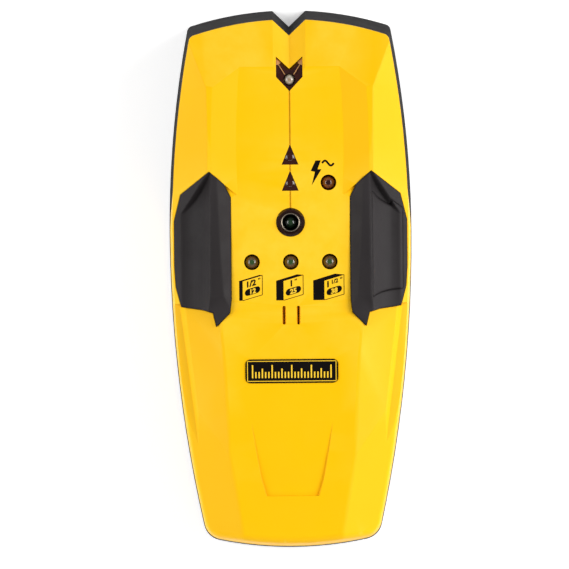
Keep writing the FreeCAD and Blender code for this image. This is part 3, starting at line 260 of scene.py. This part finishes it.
@dataclass(frozen=True)
class Metal:
    """A plated or etched metal with fine directional marks and a slight tarnish in patches."""

    name: str
    colour: str
    tarnish: str
    roughness: float
    mark_mm: float

    def make(self) -> bpy.types.Material:
        """Build the material.

        Returns:
            The finished material.
        """
        material = bpy.data.materials.new(self.name)
        material.use_nodes = True
        tree = material.node_tree
        tree.nodes.clear()
        place = add(tree, "TexCoord", {}, {}).outputs["Object"]
        stretched = add(tree, "Mapping", {"Scale": (1.0, 0.08, 1.0)}, {"Vector": place})
        mark_scale = 1 / (self.mark_mm * MM)
        marks = add(tree, "TexNoise", {"Scale": mark_scale, "Detail": 3.0}, {"Vector": stretched.outputs[0]})
        patch = add(tree, "TexNoise", {"Scale": 140.0, "Detail": 2.0}, {"Vector": place})
        blend = add(tree, "ValToRGB", {}, {"Fac": patch.outputs["Fac"]})
        fade = ramp(blend, [(0.45, grey(0.0)), (0.75, grey(1.0))])
        colour = add(
            tree, "Mix", {"data_type": "RGBA", 6: linear(self.colour), 7: linear(self.tarnish)},
            {0: fade.outputs["Color"]},
        )
        rough = add(
            tree, "MapRange", {"To Min": self.roughness, "To Max": self.roughness + 0.2},
            {"Value": marks.outputs["Fac"]},
        )
        bump = add(tree, "Bump", {"Strength": 0.3, "Distance": 0.01 * MM}, {"Height": marks.outputs["Fac"]})
        shader = add(
            tree, "BsdfPrincipled", {"Metallic": 1.0},
            {"Base Color": colour.outputs[2], "Roughness": rough.outputs["Result"],
             "Normal": bump.outputs["Normal"]},
        )
        add(tree, "OutputMaterial", {}, {"Surface": shader.outputs["BSDF"]})
        return material


# Yellow ABS from a fine spark-eroded mould: a saturated, even yellow with a satin highlight.
YELLOW_ABS = MouldedPlastic("yellow_abs_spark_moulded", "#FFC200", "#FFD23A", 0.5, 0.35, 0.012, mottle=0.012,
                            specular=0.12)
# Black ABS from a coarser mould: almost black, with a broad grey sheen where it turns to the light.
BLACK_ABS = MouldedPlastic("black_abs_spark_moulded", "#1A1819", "#262425", 0.8, 0.45, 0.02, mottle=0.08,
                           specular=0.08)
# Soft-touch elastomer moulded over the grips: matte charcoal with a fine leathery grit.
SOFT_TPE = MouldedPlastic("charcoal_tpe_overmould", "#262223", "#343031", 0.62, 0.5, 0.02, ior=1.5,
                          mottle=0.06, edge_mm=1.0, specular=0.22)
# Red-brown smoked acrylic, moulded and polished: near black until the light comes through.
SMOKED_ACRYLIC = CastResin("smoked_acrylic_polished", "#42160E", "#1A0806", 0.25, 0.1)
# Pale lamp epoxy, cast: it reads as a bright bead in the smoked window.
CLEAR_EPOXY = CastResin("clear_epoxy_cast", "#EFE2CC", "#9A8468", 0.35, core="#C9B296")
# Lamp epoxy over a green die, cast: brown with a painted shade darkening it at the rim, and green in the
# middle while unlit.
GREEN_EPOXY = CastResin("green_epoxy_cast", "#7C6A52", "#2A180E", 0.3, core="#3C6234")
# A darker copy of the same resin for the ready lamp: the green is the lamp's own, the darkening a painted
# shade for its recess in the black ring.
GREEN_EPOXY_RECESS_SHADED = CastResin("green_epoxy_cast_recess_shade", "#1C301C", "#0C120C", 0.3, core="#284A28")
# Lamp epoxy over a red die, cast: red-brown with a dark middle while unlit.
RED_EPOXY = CastResin("red_epoxy_cast", "#9A6450", "#4A2014", 0.3, core="#3A150E")
# The die and its coat in a lamp's cup: a strong colour seen through the resin.
GREEN_DIE = CastResin("green_die_coated", "#3A9A30", "#1F6A1C", 0.0, 0.35)
RED_DIE = CastResin("red_die_coated", "#8A2E1C", "#4A140C", 0.0, 0.2)
# Polished polycarbonate of the bezel: near black with a brown cast.
BEZEL_PC = CastResin("black_polycarbonate_polished", "#260D08", "#120604", 0.0, 0.1)
# Pad-printed ink: dense and matte, so that it stays dark beside the satin shell.
BLACK_INK = MouldedPlastic("black_ink_pad_printed", "#0A0706", "#161210", 0.7, 0.2, 0.003, mottle=0.03,
                           edge_mm=0.02, specular=0.04)
YELLOW_INK = MouldedPlastic("yellow_ink_pad_printed", "#FFC81E", "#FFD84A", 0.6, 0.2, 0.003, mottle=0.03,
                            edge_mm=0.02, specular=0.12)
# Painted marks: the amber strip in the centre line's groove is a painted shade on its floor, and the pale tan
# strokes on the smoked window are painted highlights along its two ridges, plus the yellow shell seen through
# its thin front tips.
GROOVE_PAINTED_SHADE = MouldedPlastic("groove_floor_painted_shade", "#C08A00", "#D8A010", 0.7, 0.2, 0.003, mottle=0.03,
                            edge_mm=0.02, specular=0.05)
ACRYLIC_HIGHLIGHT_AND_TIP = CastResin("smoked_acrylic_highlight_and_tip", "#DCA468", "#A86A2C", 0.1, 0.1)
# Green solder mask over glass-fibre laminate.
SOLDER_MASK = MouldedPlastic("green_solder_mask_coated", "#0E5A2E", "#2C7A4A", 0.25, 0.6, 0.01, mottle=0.12)
# Black moulded epoxy of the components.
PART_EPOXY = MouldedPlastic("black_epoxy_moulded", "#1A1A1B", "#333334", 0.5, 0.2, 0.01, mottle=0.08)
ZINC_STEEL = Metal("steel_zinc_plated", "#C4C2BC", "#8E8B84", 0.24, 0.08)
NICKEL = Metal("brass_nickel_plated", "#D2D0C8", "#9A978E", 0.16, 0.06)
# The silvered cup in a lamp, dulled by the resin round it.
CUP_SILVER = Metal("lead_frame_silvered", "#A79A88", "#6A5C4C", 0.3, 0.05)
COPPER = Metal("copper_etched", "#C77B50", "#8A4A2C", 0.3, 0.1)
# The printed steel jacket of the block battery.
BATTERY_JACKET = MouldedPlastic("battery_steel_jacket_printed", "#2A2C30", "#55585E", 0.3, 0.3, 0.004,
                                mottle=0.05)
# Open-cell foam, cut from sheet.
FOAM = MouldedPlastic("charcoal_foam_cut", "#26262A", "#3A3A3E", 0.9, 0.6, 0.12, mottle=0.25)
RED_PVC = MouldedPlastic("red_pvc_extruded", "#B0140F", "#D04038", 0.35, 0.2, 0.006)
BLACK_PVC = MouldedPlastic("black_pvc_extruded", "#181818", "#3A3A3A", 0.35, 0.2, 0.006)

SLOT_FINISH = {
    "yellow_shell": YELLOW_ABS,
    "black_shell": BLACK_ABS,
    "grip": SOFT_TPE,
    "button": SOFT_TPE,
    "smoked_lens": SMOKED_ACRYLIC,
    "clear_lamp": CLEAR_EPOXY,
    "green_lamp": GREEN_EPOXY,
    "red_lamp": RED_EPOXY,
    "bezel": BEZEL_PC,
    "badge": BLACK_INK,
    "circuit_board": SOLDER_MASK,
    "copper": COPPER,
    "component": PART_EPOXY,
    "screw": ZINC_STEEL,
    "battery_case": BATTERY_JACKET,
    "nickel": NICKEL,
    "foam": FOAM,
    "red_wire": RED_PVC,
    "black_wire": BLACK_PVC,
}


class Paints:
    """Keeps one material of each finish, so that pieces of one finish share it."""

    def __init__(self) -> None:
        """Start with nothing made."""
        self._made: dict[str, bpy.types.Material] = {}

    def get(self, finish: MouldedPlastic | CastResin | Metal) -> bpy.types.Material:
        """The material of a finish, made the first time it is asked for."""
        if finish.name not in self._made:
            self._made[finish.name] = finish.make()
        return self._made[finish.name]


PAINTS = Paints()


# ---------------------------------------------------------------------------------------------------
# The studio
# ---------------------------------------------------------------------------------------------------


@dataclass
class Studio:
    """The floor, the lights and the camera over the tool."""

    lens_mm: float = 1200.0
    sensor_mm: float = 36.0
    view_wide: float = 0.1749
    aim_x: float = -0.0020
    aim_y: float = -0.0018
    roll_deg: float = -0.5
    key_power: float = 13.4
    fill_power: float = 8.8
    rear_power: float = 2.5
    world_strength: float = 0.15
    table_glow: float = 0.45
    floor_half: float = 3.0
    floor_drop: float = 0.0002
    floor_grey: float = 0.93
    side_place: tuple[float, float] = (0.9, 0.62)  # how far out and how high the two side lights stand
    side_y: tuple[float, float] = (0.12, 0.05)
    side_size: float = 0.8
    rear_place: tuple[float, float] = (-0.95, 0.55)
    rear_size: tuple[float, float] = (1.7, 0.2)

    def build(self) -> None:
        """Make the camera, the floor and the lights."""
        self._camera()
        self._floor()
        self._lights()
        LOG.info("studio: camera, floor and lights")

    def _camera(self) -> None:
        """Put the camera straight above the tool."""
        data = bpy.data.cameras.new("camera")
        data.lens = self.lens_mm
        data.sensor_width = self.sensor_mm
        data.clip_end = 20.0
        away = self.view_wide * self.lens_mm / self.sensor_mm
        camera = bpy.data.objects.new("camera", data)
        camera.location = (self.aim_x, self.aim_y, away)
        camera.rotation_euler = (0.0, 0.0, math.radians(self.roll_deg))
        bpy.context.scene.collection.objects.link(camera)
        bpy.context.scene.camera = camera

    def _floor(self) -> None:
        """Lay a plain pale floor just under the tool."""
        mesh = bpy.data.meshes.new("floor")
        half, z = self.floor_half, -self.floor_drop
        corners = [(-half, -half, z), (half, -half, z), (half, half, z), (-half, half, z)]
        mesh.from_pydata(corners, [], [(0, 1, 2, 3)])
        floor = bpy.data.objects.new("floor", mesh)
        bpy.context.scene.collection.objects.link(floor)
        material = bpy.data.materials.new("pale_floor")
        material.use_nodes = True
        shader = material.node_tree.nodes["Principled BSDF"]
        shader.inputs["Base Color"].default_value = grey(self.floor_grey)
        shader.inputs["Roughness"].default_value = 0.9
        shader.inputs["Emission Color"].default_value = grey(1.0)
        shader.inputs["Emission Strength"].default_value = self.table_glow
        mesh.materials.append(material)

    def _lights(self) -> None:
        """Stand a soft light on each side, the stronger at +X, and a wide weak one behind, in a dim room."""
        out, up = self.side_place
        back, back_up = self.rear_place
        side = (self.side_size, self.side_size)
        spots = (
            ("key", (out, self.side_y[0], up), side, self.key_power),
            ("fill", (-out, self.side_y[1], up), side, self.fill_power),
            ("rear", (0.0, back, back_up), self.rear_size, self.rear_power),
        )
        for name, place, (wide, tall), power in spots:
            data = bpy.data.lights.new(name, "AREA")
            data.shape = "RECTANGLE"
            data.size = wide
            data.size_y = tall
            data.energy = power
            light = bpy.data.objects.new(name, data)
            light.location = place
            light.rotation_euler = Vector(place).to_track_quat("Z", "Y").to_euler()
            bpy.context.scene.collection.objects.link(light)
        world = bpy.data.worlds.new("pale_world")
        world.use_nodes = True
        world.node_tree.nodes["Background"].inputs["Color"].default_value = grey(1.0)
        world.node_tree.nodes["Background"].inputs["Strength"].default_value = self.world_strength
        bpy.context.scene.world = world
        bpy.context.scene.view_settings.view_transform = "Standard"


# ---------------------------------------------------------------------------------------------------
# The pieces
# ---------------------------------------------------------------------------------------------------


def dress_frame() -> None:
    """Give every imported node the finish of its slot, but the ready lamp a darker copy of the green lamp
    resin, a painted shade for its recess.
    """
    slots = {part["node"]: part["material_slot"] for part in frame["record"]["subparts"]}
    for name, node in frame["nodes"].items():
        finish = GREEN_EPOXY_RECESS_SHADED if name == "ready_lamp" else SLOT_FINISH[slots[name]]
        material = PAINTS.get(finish)
        for slot in node.material_slots:
            slot.material = material
    LOG.info("frame: %d nodes dressed", len(frame["nodes"]))


class Print(Enum):
    """The two inks that are printed on the shell and on the badge, and the paints of the groove's painted
    shade and of the window's painted ridge highlights and tips.
    """

    BLACK = BLACK_INK
    YELLOW = YELLOW_INK
    AMBER = GROOVE_PAINTED_SHADE
    RIM = ACRYLIC_HIGHLIGHT_AND_TIP


class Surface:
    """Finds the height of a node's top surface under a point."""

    def __init__(self, node: str) -> None:
        """Read a node's mesh.

        Args:
            node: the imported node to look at.
        """
        mesh = frame["nodes"][node].data
        mesh.calc_loop_triangles()
        faces = [tuple(t.vertices) for t in mesh.loop_triangles]
        self._tree = BVHTree.FromPolygons([v.co.copy() for v in mesh.vertices], faces)

    def height(self, x: float, y: float) -> float:
        """The top surface's height at a point.

        Args:
            x: place across the tool.
            y: place along the tool.

        Returns:
            The height of the first thing met from above.
        """
        hit = self._tree.ray_cast(Vector((x, y, 1.0)), Vector((0.0, 0.0, -1.0)))[0]
        return hit.z


def settle(name: str, mesh: bpy.types.Mesh, finish: MouldedPlastic | CastResin | Metal,
           body: str = ROOT, smooth: bool = True) -> bpy.types.Object:
    """Make a mesh into a piece that rides on a body.

    Args:
        name: the piece's name.
        mesh: its shape, already in place.
        finish: what it is made of.
        body: the body that it rides on.
        smooth: whether faces that meet at a shallow angle are shaded as one.

    Returns:
        The new piece.
    """
    piece = bpy.data.objects.new(name, mesh)
    bpy.context.scene.collection.objects.link(piece)
    mesh.materials.clear()
    mesh.materials.append(PAINTS.get(finish))
    if smooth:
        mesh.shade_smooth()
        mesh.set_sharp_from_angle(angle=math.radians(35.0))
    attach(piece, body)
    LOG.info("piece: %s on %s", name, body)
    return piece


def mesh_from(name: str, shape: bmesh.types.BMesh) -> bpy.types.Mesh:
    """Turn a bmesh into a mesh with outward faces and free it."""
    bmesh.ops.recalc_face_normals(shape, faces=shape.faces)
    mesh = bpy.data.meshes.new(name)
    shape.to_mesh(mesh)
    shape.free()
    return mesh


Outline = list[tuple[float, float]]


def capsule(length: float, wide: float, slope: float, steps: int = 10) -> Outline:
    """A round-ended bar round the origin, sheared so that it climbs by slope.

    Args:
        length: its whole length.
        wide: its height.
        slope: climb per unit to the right.
        steps: straight pieces in each round end.

    Returns:
        The closed outline.
    """
    r, half = wide / 2, (length - wide) / 2
    ring = []
    for end in (0, 1):
        for i in range(steps + 1):
            turn = math.pi * (i / steps - 0.5 + end)
            ring.append(((half if end == 0 else -half) + r * math.cos(turn), r * math.sin(turn)))
    return [(x, y + slope * x) for x, y in ring]


def stroke(path: Outline, wide: float) -> Outline:
    """The outline of a line of one width along a path of points."""
    left, right = [], []
    for i, (x, y) in enumerate(path):
        (ax, ay), (bx, by) = path[max(i - 1, 0)], path[min(i + 1, len(path) - 1)]
        run = math.hypot(bx - ax, by - ay)
        nx, ny = -(by - ay) / run * wide / 2, (bx - ax) / run * wide / 2
        left.append((x + nx, y + ny))
        right.append((x - nx, y - ny))
    return left + right[::-1]


def moved(outline: Outline, x: float, y: float) -> Outline:
    """An outline, moved by x and y."""
    return [(px + x, py + y) for px, py in outline]


@dataclass
class Printing:
    """Lays printed shapes on a node's top surface, each a thin skin of ink with an edge of its own."""

    surface: Surface
    slot: str
    thick: float = 0.02 * MM

    def lay(self, name: str, outlines: list[Outline], ink: Print, layer: int = 0) -> bpy.types.Object:
        """Print some closed outlines as one piece.

        Args:
            name: the piece's name.
            outlines: the outlines, in metres.
            ink: which ink.
            layer: 0 on the surface, 1 on top of another print.

        Returns:
            The printed piece.
        """
        shape = bmesh.new()
        for outline in outlines:
            self._skin(shape, outline, (2 * layer + 1) * self.thick)
        return settle(name, mesh_from(name, shape), ink.value, smooth=False)

    def _skin(self, shape: bmesh.types.BMesh, outline: Outline, rise: float) -> None:
        """Add one outline's skin of ink to a shape."""
        high = [shape.verts.new((x, y, self.surface.height(x, y) + rise)) for x, y in outline]
        low = [shape.verts.new((v.co.x, v.co.y, v.co.z - 2 * self.thick)) for v in high]
        for tri in tessellate_polygon([[Vector((x, y, 0.0)) for x, y in outline]]):
            shape.faces.new([high[i] for i in tri])
            shape.faces.new([low[i] for i in reversed(tri)])
        for i in range(len(outline)):
            j = (i + 1) % len(outline)
            shape.faces.new((high[i], high[j], low[j], low[i]))

    def figures(self, name: str, text: str, tall: float, place: tuple[float, float], slope: float, ink: Print,
                layer: int = 0, bold: float = 0.0) -> bpy.types.Object:
        """Print a number, sheared so that its line climbs by slope.

        Args:
            name: the piece's name.
            text: digits and a fraction bar.
            tall: the digits' height.
            place: the middle of the number.
            slope: climb per unit to the right.
            ink: which ink.
            layer: 0 on the surface, 1 on top of another print.
            bold: how much the strokes are made thicker.

        Returns:
            The printed piece.
        """
        curve = bpy.data.curves.new(name, "FONT")
        curve.body = text
        curve.size = tall / DIGIT_SHARE
        curve.offset = bold
        curve.extrude = self.thick
        curve.resolution_u = 6
        curve.align_x = "CENTER"
        holder = bpy.data.objects.new(name + "_outline", curve)
        bpy.context.scene.collection.objects.link(holder)
        graph = bpy.context.evaluated_depsgraph_get()
        mesh = bpy.data.meshes.new_from_object(holder.evaluated_get(graph))
        bpy.data.objects.remove(holder)
        for vertex in mesh.vertices:
            x, y, z = vertex.co
            x, y = x + place[0], y + slope * x + place[1] - tall / 2
            vertex.co = (x, y, self.surface.height(x, y) + z + 2 * layer * self.thick)
        return settle(name, mesh, ink.value, smooth=False)


DIGIT_SHARE = 0.73  # a digit's height as a share of the type's size


class Fold(Enum):
    """The three depths that the icons stand for, as millimetres and as inches."""

    SHALLOW = (12, "1/2", "left")
    MIDDLE = (25, "1", "middle")
    DEEP = (38, "11/2", "right")


@dataclass
class DepthIcon:
    """A printed block: a face with its depth in figures, a dark side as deep as the depth, and a thin top."""

    depth: Fold
    printing: Printing
    face_wide: float = 6.0 * MM
    face_tall: float = 6.0 * MM
    climb: float = 1.75 * MM
    side_per_mm: float = 0.09 * MM
    under_lamp: float = 5.75 * MM  # the face's upper left corner lies this far behind the lamp's middle
    face_at: float = 2.3 * MM  # and this far to its left
    spread: float = 0.05  # the icons stand this much wider apart than the lamps
    line: float = 0.2 * MM
    top_share: float = 0.8
    pill: tuple[float, float] = (4.7 * MM, 2.05 * MM)
    pill_digit: float = 1.5 * MM
    pill_bold: float = 0.08 * MM
    inch_digit: float = 1.8 * MM
    whole_at: float = -1.9 * MM  # the whole number before a fraction stands this far from the face's middle
    fraction_digit: float = 1.25 * MM
    fraction_at: tuple[float, float] = (0.1 * MM, 0.35 * MM)
    tick_pitch: float = 0.4 * MM
    tick_rise: float = 0.9 * MM
    tick: tuple[float, float, float] = (0.08 * MM, 0.5 * MM, 0.26 * MM)  # its lean, length and width

    def build(self) -> None:
        """Print the block, its frame, the pill and the numbers."""
        depth, inches, side_name = self.depth.value
        low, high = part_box("depth_lamp_" + side_name)
        middle = (low + high) / 2
        x = middle.x * (1 + self.spread) - self.face_at
        y = middle.y - self.under_lamp
        name, slope = "icon_%d" % depth, self.climb / self.face_wide
        side = self.side_per_mm * depth
        right = x + self.face_wide
        top_right = (right, y + self.climb)
        self.printing.lay(name + "_block", [[
            (x - side, y - self.face_tall), (x, y - self.face_tall), (x, y),
            (right, y + self.climb), (right - self.top_share * side, y + self.climb + 0.3 * side * slope),
            (x - side, y + 0.02 * MM),
        ]], Print.BLACK)
        edge = [stroke([(x, y - self.face_tall), (right, y + self.climb - self.face_tall)], self.line),
                stroke([(right, y + self.climb - self.face_tall), top_right], self.line)]
        edge.append(stroke([(x, y), top_right], self.line))
        self.printing.lay(name + "_frame", edge, Print.BLACK)
        centre = (x + self.face_wide / 2, y + self.climb / 2)
        pill_y = centre[1] - 0.66 * self.face_tall
        self.printing.lay(name + "_pill", [moved(capsule(*self.pill, slope), centre[0], pill_y)], Print.BLACK)
        self.printing.figures(name + "_millimetres", str(depth), self.pill_digit, (centre[0], pill_y), slope,
                              Print.YELLOW, 1, self.pill_bold)
        self._inches(name, inches, centre, slope)

    def _inches(self, name: str, inches: str, centre: tuple[float, float], slope: float) -> None:
        """Print the depth in inches, a whole number larger than a fraction, with two ticks after it."""
        y = centre[1] - 0.24 * self.face_tall
        if self.depth is Fold.DEEP:
            whole = (centre[0] + self.whole_at, y + self.whole_at * slope)
            self.printing.figures(name + "_inches", inches[0], self.inch_digit, whole, slope, Print.BLACK, 0,
                                  0.13 * MM)
            place = (centre[0] + self.fraction_at[0], y + self.fraction_at[1])
            self.printing.figures(name + "_fraction", inches[1:], self.fraction_digit, place, slope,
                                  Print.BLACK, 0, 0.07 * MM)
            tick_x = 2.0 * MM
        else:
            shift = -0.5 * MM if self.depth is Fold.SHALLOW else -0.6 * MM
            place = (centre[0] + shift, y + shift * slope)
            self.printing.figures(name + "_inches", inches, self.inch_digit, place, slope, Print.BLACK, 0,
                                  0.11 * MM)
            tick_x = 1.9 * MM if self.depth is Fold.SHALLOW else 0.6 * MM
        ticks = []
        lean, long, wide = self.tick
        for step in (0.0, self.tick_pitch):
            tx = centre[0] + tick_x + step
            ty = y + (tick_x + step) * slope + self.tick_rise
            ticks.append(stroke([(tx, ty), (tx - lean, ty - long)], wide))
        self.printing.lay(name + "_ticks", ticks, Print.BLACK)


@dataclass
class WarningMarks:
    """The bolt and the wave printed beside the live-wire lamp."""

    printing: Printing
    wave_long: float = 3.6 * MM
    wave_tall: float = 1.5 * MM
    wave_line: float = 0.62 * MM
    wave_at: tuple[float, float] = (-0.1 * MM, 5.9 * MM)

    def build(self) -> None:
        """Print both marks."""
        low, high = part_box("live_wire_lamp")
        x, y = (low.x + high.x) / 2, (low.y + high.y) / 2
        bolt = [(-3.9, 6.75), (-2.3, 6.75), (-3.3, 4.05), (-2.1, 4.05), (-5.1, -0.85), (-4.1, 3.25),
                (-5.4, 3.55)]
        self.printing.lay("bolt_mark", [[(x + bx * MM, y + by * MM) for bx, by in bolt]], Print.BLACK)
        steps = 24
        path = []
        for i in range(steps + 1):
            t = i / steps
            path.append((x + self.wave_at[0] + (t - 0.5) * self.wave_long,
                         y + self.wave_at[1] + self.wave_tall / 2 * math.sin(2 * math.pi * t)))
        self.printing.lay("wave_mark", [stroke(path, self.wave_line)], Print.BLACK)


@dataclass
class CentreLine:
    """A painted shade: an amber strip laid in the centre line's groove for the shade on its floor, in the
    three runs between the ring and the windows.
    """

    printing: Printing
    wide: float = 0.34 * MM
    gap: float = 0.1 * MM

    def build(self) -> None:
        """Lay the three runs."""
        names = ("ready_bezel", "arrow_window_rear", "arrow_window_front", "marking_window")
        stops = [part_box(name) for name in names]
        runs = []
        for (_, before), (after, _) in zip(stops, stops[1:]):
            y0, y1 = before.y + self.gap, after.y - self.gap
            runs.append(stroke([(0.0, y0 + (y1 - y0) * i / 8) for i in range(9)], self.wide))
        self.printing.lay("centre_line_painted_shade", runs, Print.AMBER)


@dataclass
class WindowRims:
    """Painted highlights along the marking window's two ridges, laid as bright strokes, and its thin front
    tips, where the yellow shell shows through.
    """

    printing: Printing
    ridge: tuple[float, float, float, float] = (3.3 * MM, 2.3 * MM, 1.35 * MM, 5.4 * MM)
    wide: float = 0.24 * MM

    def build(self) -> None:
        """Lay the painted ridge highlights and the tips, placed from the window's front corners."""
        _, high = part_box("marking_window")
        half, front = high.x, high.y
        x0, back0, x1, back1 = self.ridge
        tip = [(0.04, 0.25), (0.04, 2.5), (1.0, 2.2), (1.45, 1.6)]
        for side, name in ((-1, "left"), (1, "right")):
            # a bright stroke along the ridge: a painted highlight
            ridge = stroke([(side * x0, front - back0), (side * x1, front - back1)], self.wide)
            self.printing.lay("window_ridge_highlight_" + name, [ridge], Print.RIM)
            corners = [(side * (half - inset * MM), front - back * MM) for inset, back in tip]
            self.printing.lay("window_tip_" + name, [corners], Print.RIM)


@dataclass
class BadgePrint:
    """A rule of ticks printed in yellow on the black badge, inside a thin frame."""

    printing: Printing
    inset: float = 0.55 * MM
    line: float = 0.22 * MM
    ticks: int = 25
    pitch: float = 1.0 * MM
    tick_wide: float = 0.42 * MM
    tall: tuple[float, float, float] = (4.0 * MM, 2.9 * MM, 1.9 * MM)

    def build(self) -> None:
        """Print the frame and the ticks."""
        low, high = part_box("name_badge")
        x0, x1 = low.x + self.inset, high.x - self.inset
        y0, y1 = low.y + self.inset, high.y - self.inset
        corners = [(x0, y0), (x1, y0), (x1, y1), (x0, y1)]
        bars = [stroke(self._split(a, b), self.line) for a, b in zip(corners, corners[1:] + corners[:1])]
        self.printing.lay("badge_frame", bars, Print.YELLOW)
        middle = (low.x + high.x) / 2
        foot = y0 + 0.95 * MM
        marks = []
        for i in range(self.ticks):
            step = i - self.ticks // 2
            tall = self.tall[0] if step % 6 == 0 else self.tall[1] if step % 3 == 0 else self.tall[2]
            x = middle + step * self.pitch
            marks.append(stroke([(x, foot), (x, foot + tall)], self.tick_wide))
        self.printing.lay("badge_ticks", marks, Print.YELLOW)

    def _split(self, a: tuple[float, float], b: tuple[float, float], parts: int = 8) -> Outline:
        """Points along a straight line, close enough for a print to follow the arch."""
        shares = [i / parts for i in range(parts + 1)]
        return [(a[0] + (b[0] - a[0]) * t, a[1] + (b[1] - a[1]) * t) for t in shares]


def lathe(name: str, profile: Outline, x: float, y: float, steps: int = 40) -> bpy.types.Mesh:
    """Turn a profile of radius and height round an upright axis into a closed mesh.

    Args:
        name: the mesh's name.
        profile: radius and height of each point, round the closed section from bottom to top.
        x: place of the axis.
        y: place of the axis.
        steps: how many flats make the round.

    Returns:
        The mesh.
    """
    shape = bmesh.new()
    rings = []
    for r, z in profile:
        if r == 0.0:
            rings.append([shape.verts.new((x, y, z))])
            continue
        turns = [2 * math.pi * i / steps for i in range(steps)]
        rings.append([shape.verts.new((x + r * math.cos(t), y + r * math.sin(t), z)) for t in turns])
    pairs = list(zip(rings, rings[1:]))
    if len(rings[0]) > 1:
        pairs.append((rings[-1], rings[0]))
    for a, b in pairs:
        for i in range(steps):
            j = (i + 1) % steps
            if len(a) == 1 and len(b) == 1:
                continue
            if len(a) == 1:
                shape.faces.new((a[0], b[i], b[j]))
            elif len(b) == 1:
                shape.faces.new((a[i], a[j], b[0]))
            else:
                shape.faces.new((a[i], a[j], b[j], b[i]))
    return mesh_from(name, shape)


@dataclass
class LampInside:
    """What shows through a lamp's resin: the plated cup on its post and the die in it."""

    lamp: str
    die: CastResin
    slot: str
    cup_share: float = 0.56  # the cup's diameter as a share of the lamp's
    well_share: float = 0.34
    drop: float = 0.62  # the cup's rim lies this share of the lamp's diameter under its top

    def build(self) -> None:
        """Make the cup and the die."""
        low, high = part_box(self.lamp)
        d = min(high.x - low.x, high.y - low.y) - 2 * FLANGE
        x, y = (low.x + high.x) / 2, (low.y + high.y) / 2
        rim = high.z - self.drop * d
        r, well = self.cup_share * d / 2, self.well_share * d / 2
        deep = 0.9 * (r - well)
        foot = rim - 2.2 * r
        cup = [(0.0, foot), (well, foot), (well * 1.15, rim - deep - 0.3 * well), (r, rim - 0.12 * r),
               (r, rim), (r * 0.9, rim), (well, rim - deep), (0.0, rim - deep)]
        settle(self.lamp + "_cup", lathe(self.lamp + "_cup", cup, x, y), CUP_SILVER)
        floor = rim - deep
        die = [(0.0, floor + 0.02 * MM), (well * 0.98, floor + 0.02 * MM), (well * 0.9, floor + 0.6 * well),
               (0.0, floor + 0.85 * well)]
        settle(self.lamp + "_die", lathe(self.lamp + "_die", die, x, y), self.die)


FLANGE = 0.4 * MM  # width of a lamp's flange beyond its round body


@dataclass
class ArrowLens:
    """The low dome in an arrow window over its lamp, with a small step round it that catches the light."""

    window: str
    radius: float = 1.3 * MM
    rise: float = 0.5 * MM
    share: float = 0.38  # its middle lies at this share of the window's height
    step: float = 0.12 * MM

    def build(self) -> None:
        """Make the dome."""
        low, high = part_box(self.window)
        x, y = (low.x + high.x) / 2, low.y + self.share * (high.y - low.y)
        top = Surface(self.window).height(x, y)
        arc = [(self.radius * math.cos(t), top + self.step + self.rise * math.sin(t))
               for t in [math.pi / 2 * i / 8 for i in range(9)]]
        profile = [(0.0, top - self.step), (self.radius + self.step, top - self.step),
                   (self.radius + self.step, top + self.step * 0.6)]
        profile += arc[:-1] + [(0.0, top + self.step + self.rise)]
        name = self.window.replace("window", "lens")
        settle(name, lathe(name, profile, x, y), SMOKED_ACRYLIC)


@dataclass
class ReadyTrim:
    """A silvered ring in the bezel's inner bevel round the ready lamp, standing in for the highlight on the
    bevel's glossy plastic: a painted highlight.
    """

    radius: float = 2.72 * MM
    tube: float = 0.2 * MM
    drop: float = 0.42 * MM

    def build(self) -> None:
        """Make the ring."""
        low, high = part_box("ready_bezel")
        x, y, z = (low.x + high.x) / 2, (low.y + high.y) / 2, high.z - self.drop
        turns = [2 * math.pi * i / 12 for i in range(12)]
        profile = [(self.radius + self.tube * math.cos(t), z + self.tube * math.sin(t)) for t in turns]
        settle("ready_bevel_highlight_ring", lathe("ready_bevel_highlight_ring", profile, x, y, 64), CUP_SILVER)


@dataclass
class FoamPad:
    """The soft pad inside the battery door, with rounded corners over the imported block."""

    rim: float = 0.24 * MM
    corner: float = 1.2 * MM

    def build(self) -> None:
        """Make the pad."""
        low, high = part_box("battery_foam")
        middle, half = (low + high) / 2, (high - low) / 2
        shape = bmesh.new()
        bmesh.ops.create_cube(shape, size=2.0)
        for vertex in shape.verts:
            vertex.co = Vector((middle.x + vertex.co.x * half.x, middle.y + vertex.co.y * half.y,
                                middle.z + vertex.co.z * half.z))
        upright = [e for e in shape.edges if abs(e.verts[0].co.z - e.verts[1].co.z) > half.z]
        bmesh.ops.bevel(shape, geom=upright, offset=self.corner, segments=5, affect="EDGES", profile=0.5)
        rim = [e for e in shape.edges if min(v.co.z for v in e.verts) > middle.z]
        bmesh.ops.bevel(shape, geom=rim, offset=self.rim, segments=3, affect="EDGES", profile=0.5)
        piece = settle("foam_pad", mesh_from("foam_pad", shape), FOAM, "battery_door")
        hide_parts("battery_foam")


def main() -> None:
    """Build the studio and every piece, and report them."""
    logging.basicConfig(level=logging.INFO, format="%(message)s")
    Studio().build()
    dress_frame()
    shell_print = Printing(Surface("top_housing"), "badge")
    for depth in Fold:
        DepthIcon(depth, shell_print).build()
    WarningMarks(shell_print).build()
    CentreLine(Printing(Surface("top_housing"), "yellow_shell")).build()
    WindowRims(Printing(Surface("marking_window"), "smoked_lens")).build()
    BadgePrint(Printing(Surface("name_badge"), "badge")).build()
    for name in ("depth_lamp_left", "depth_lamp_middle", "depth_lamp_right", "ready_lamp"):
        LampInside(name, GREEN_DIE, "green_lamp").build()
    for name in ("live_wire_lamp", "arrow_lamp_front", "arrow_lamp_rear"):
        LampInside(name, RED_DIE, "red_lamp").build()
    LampInside("marking_lamp", RED_DIE, "red_lamp").build()
    for name in ("arrow_window_front", "arrow_window_rear"):
        ArrowLens(name).build()
    ReadyTrim().build()
    FoamPad().build()


if __name__ == "__main__":
    main()
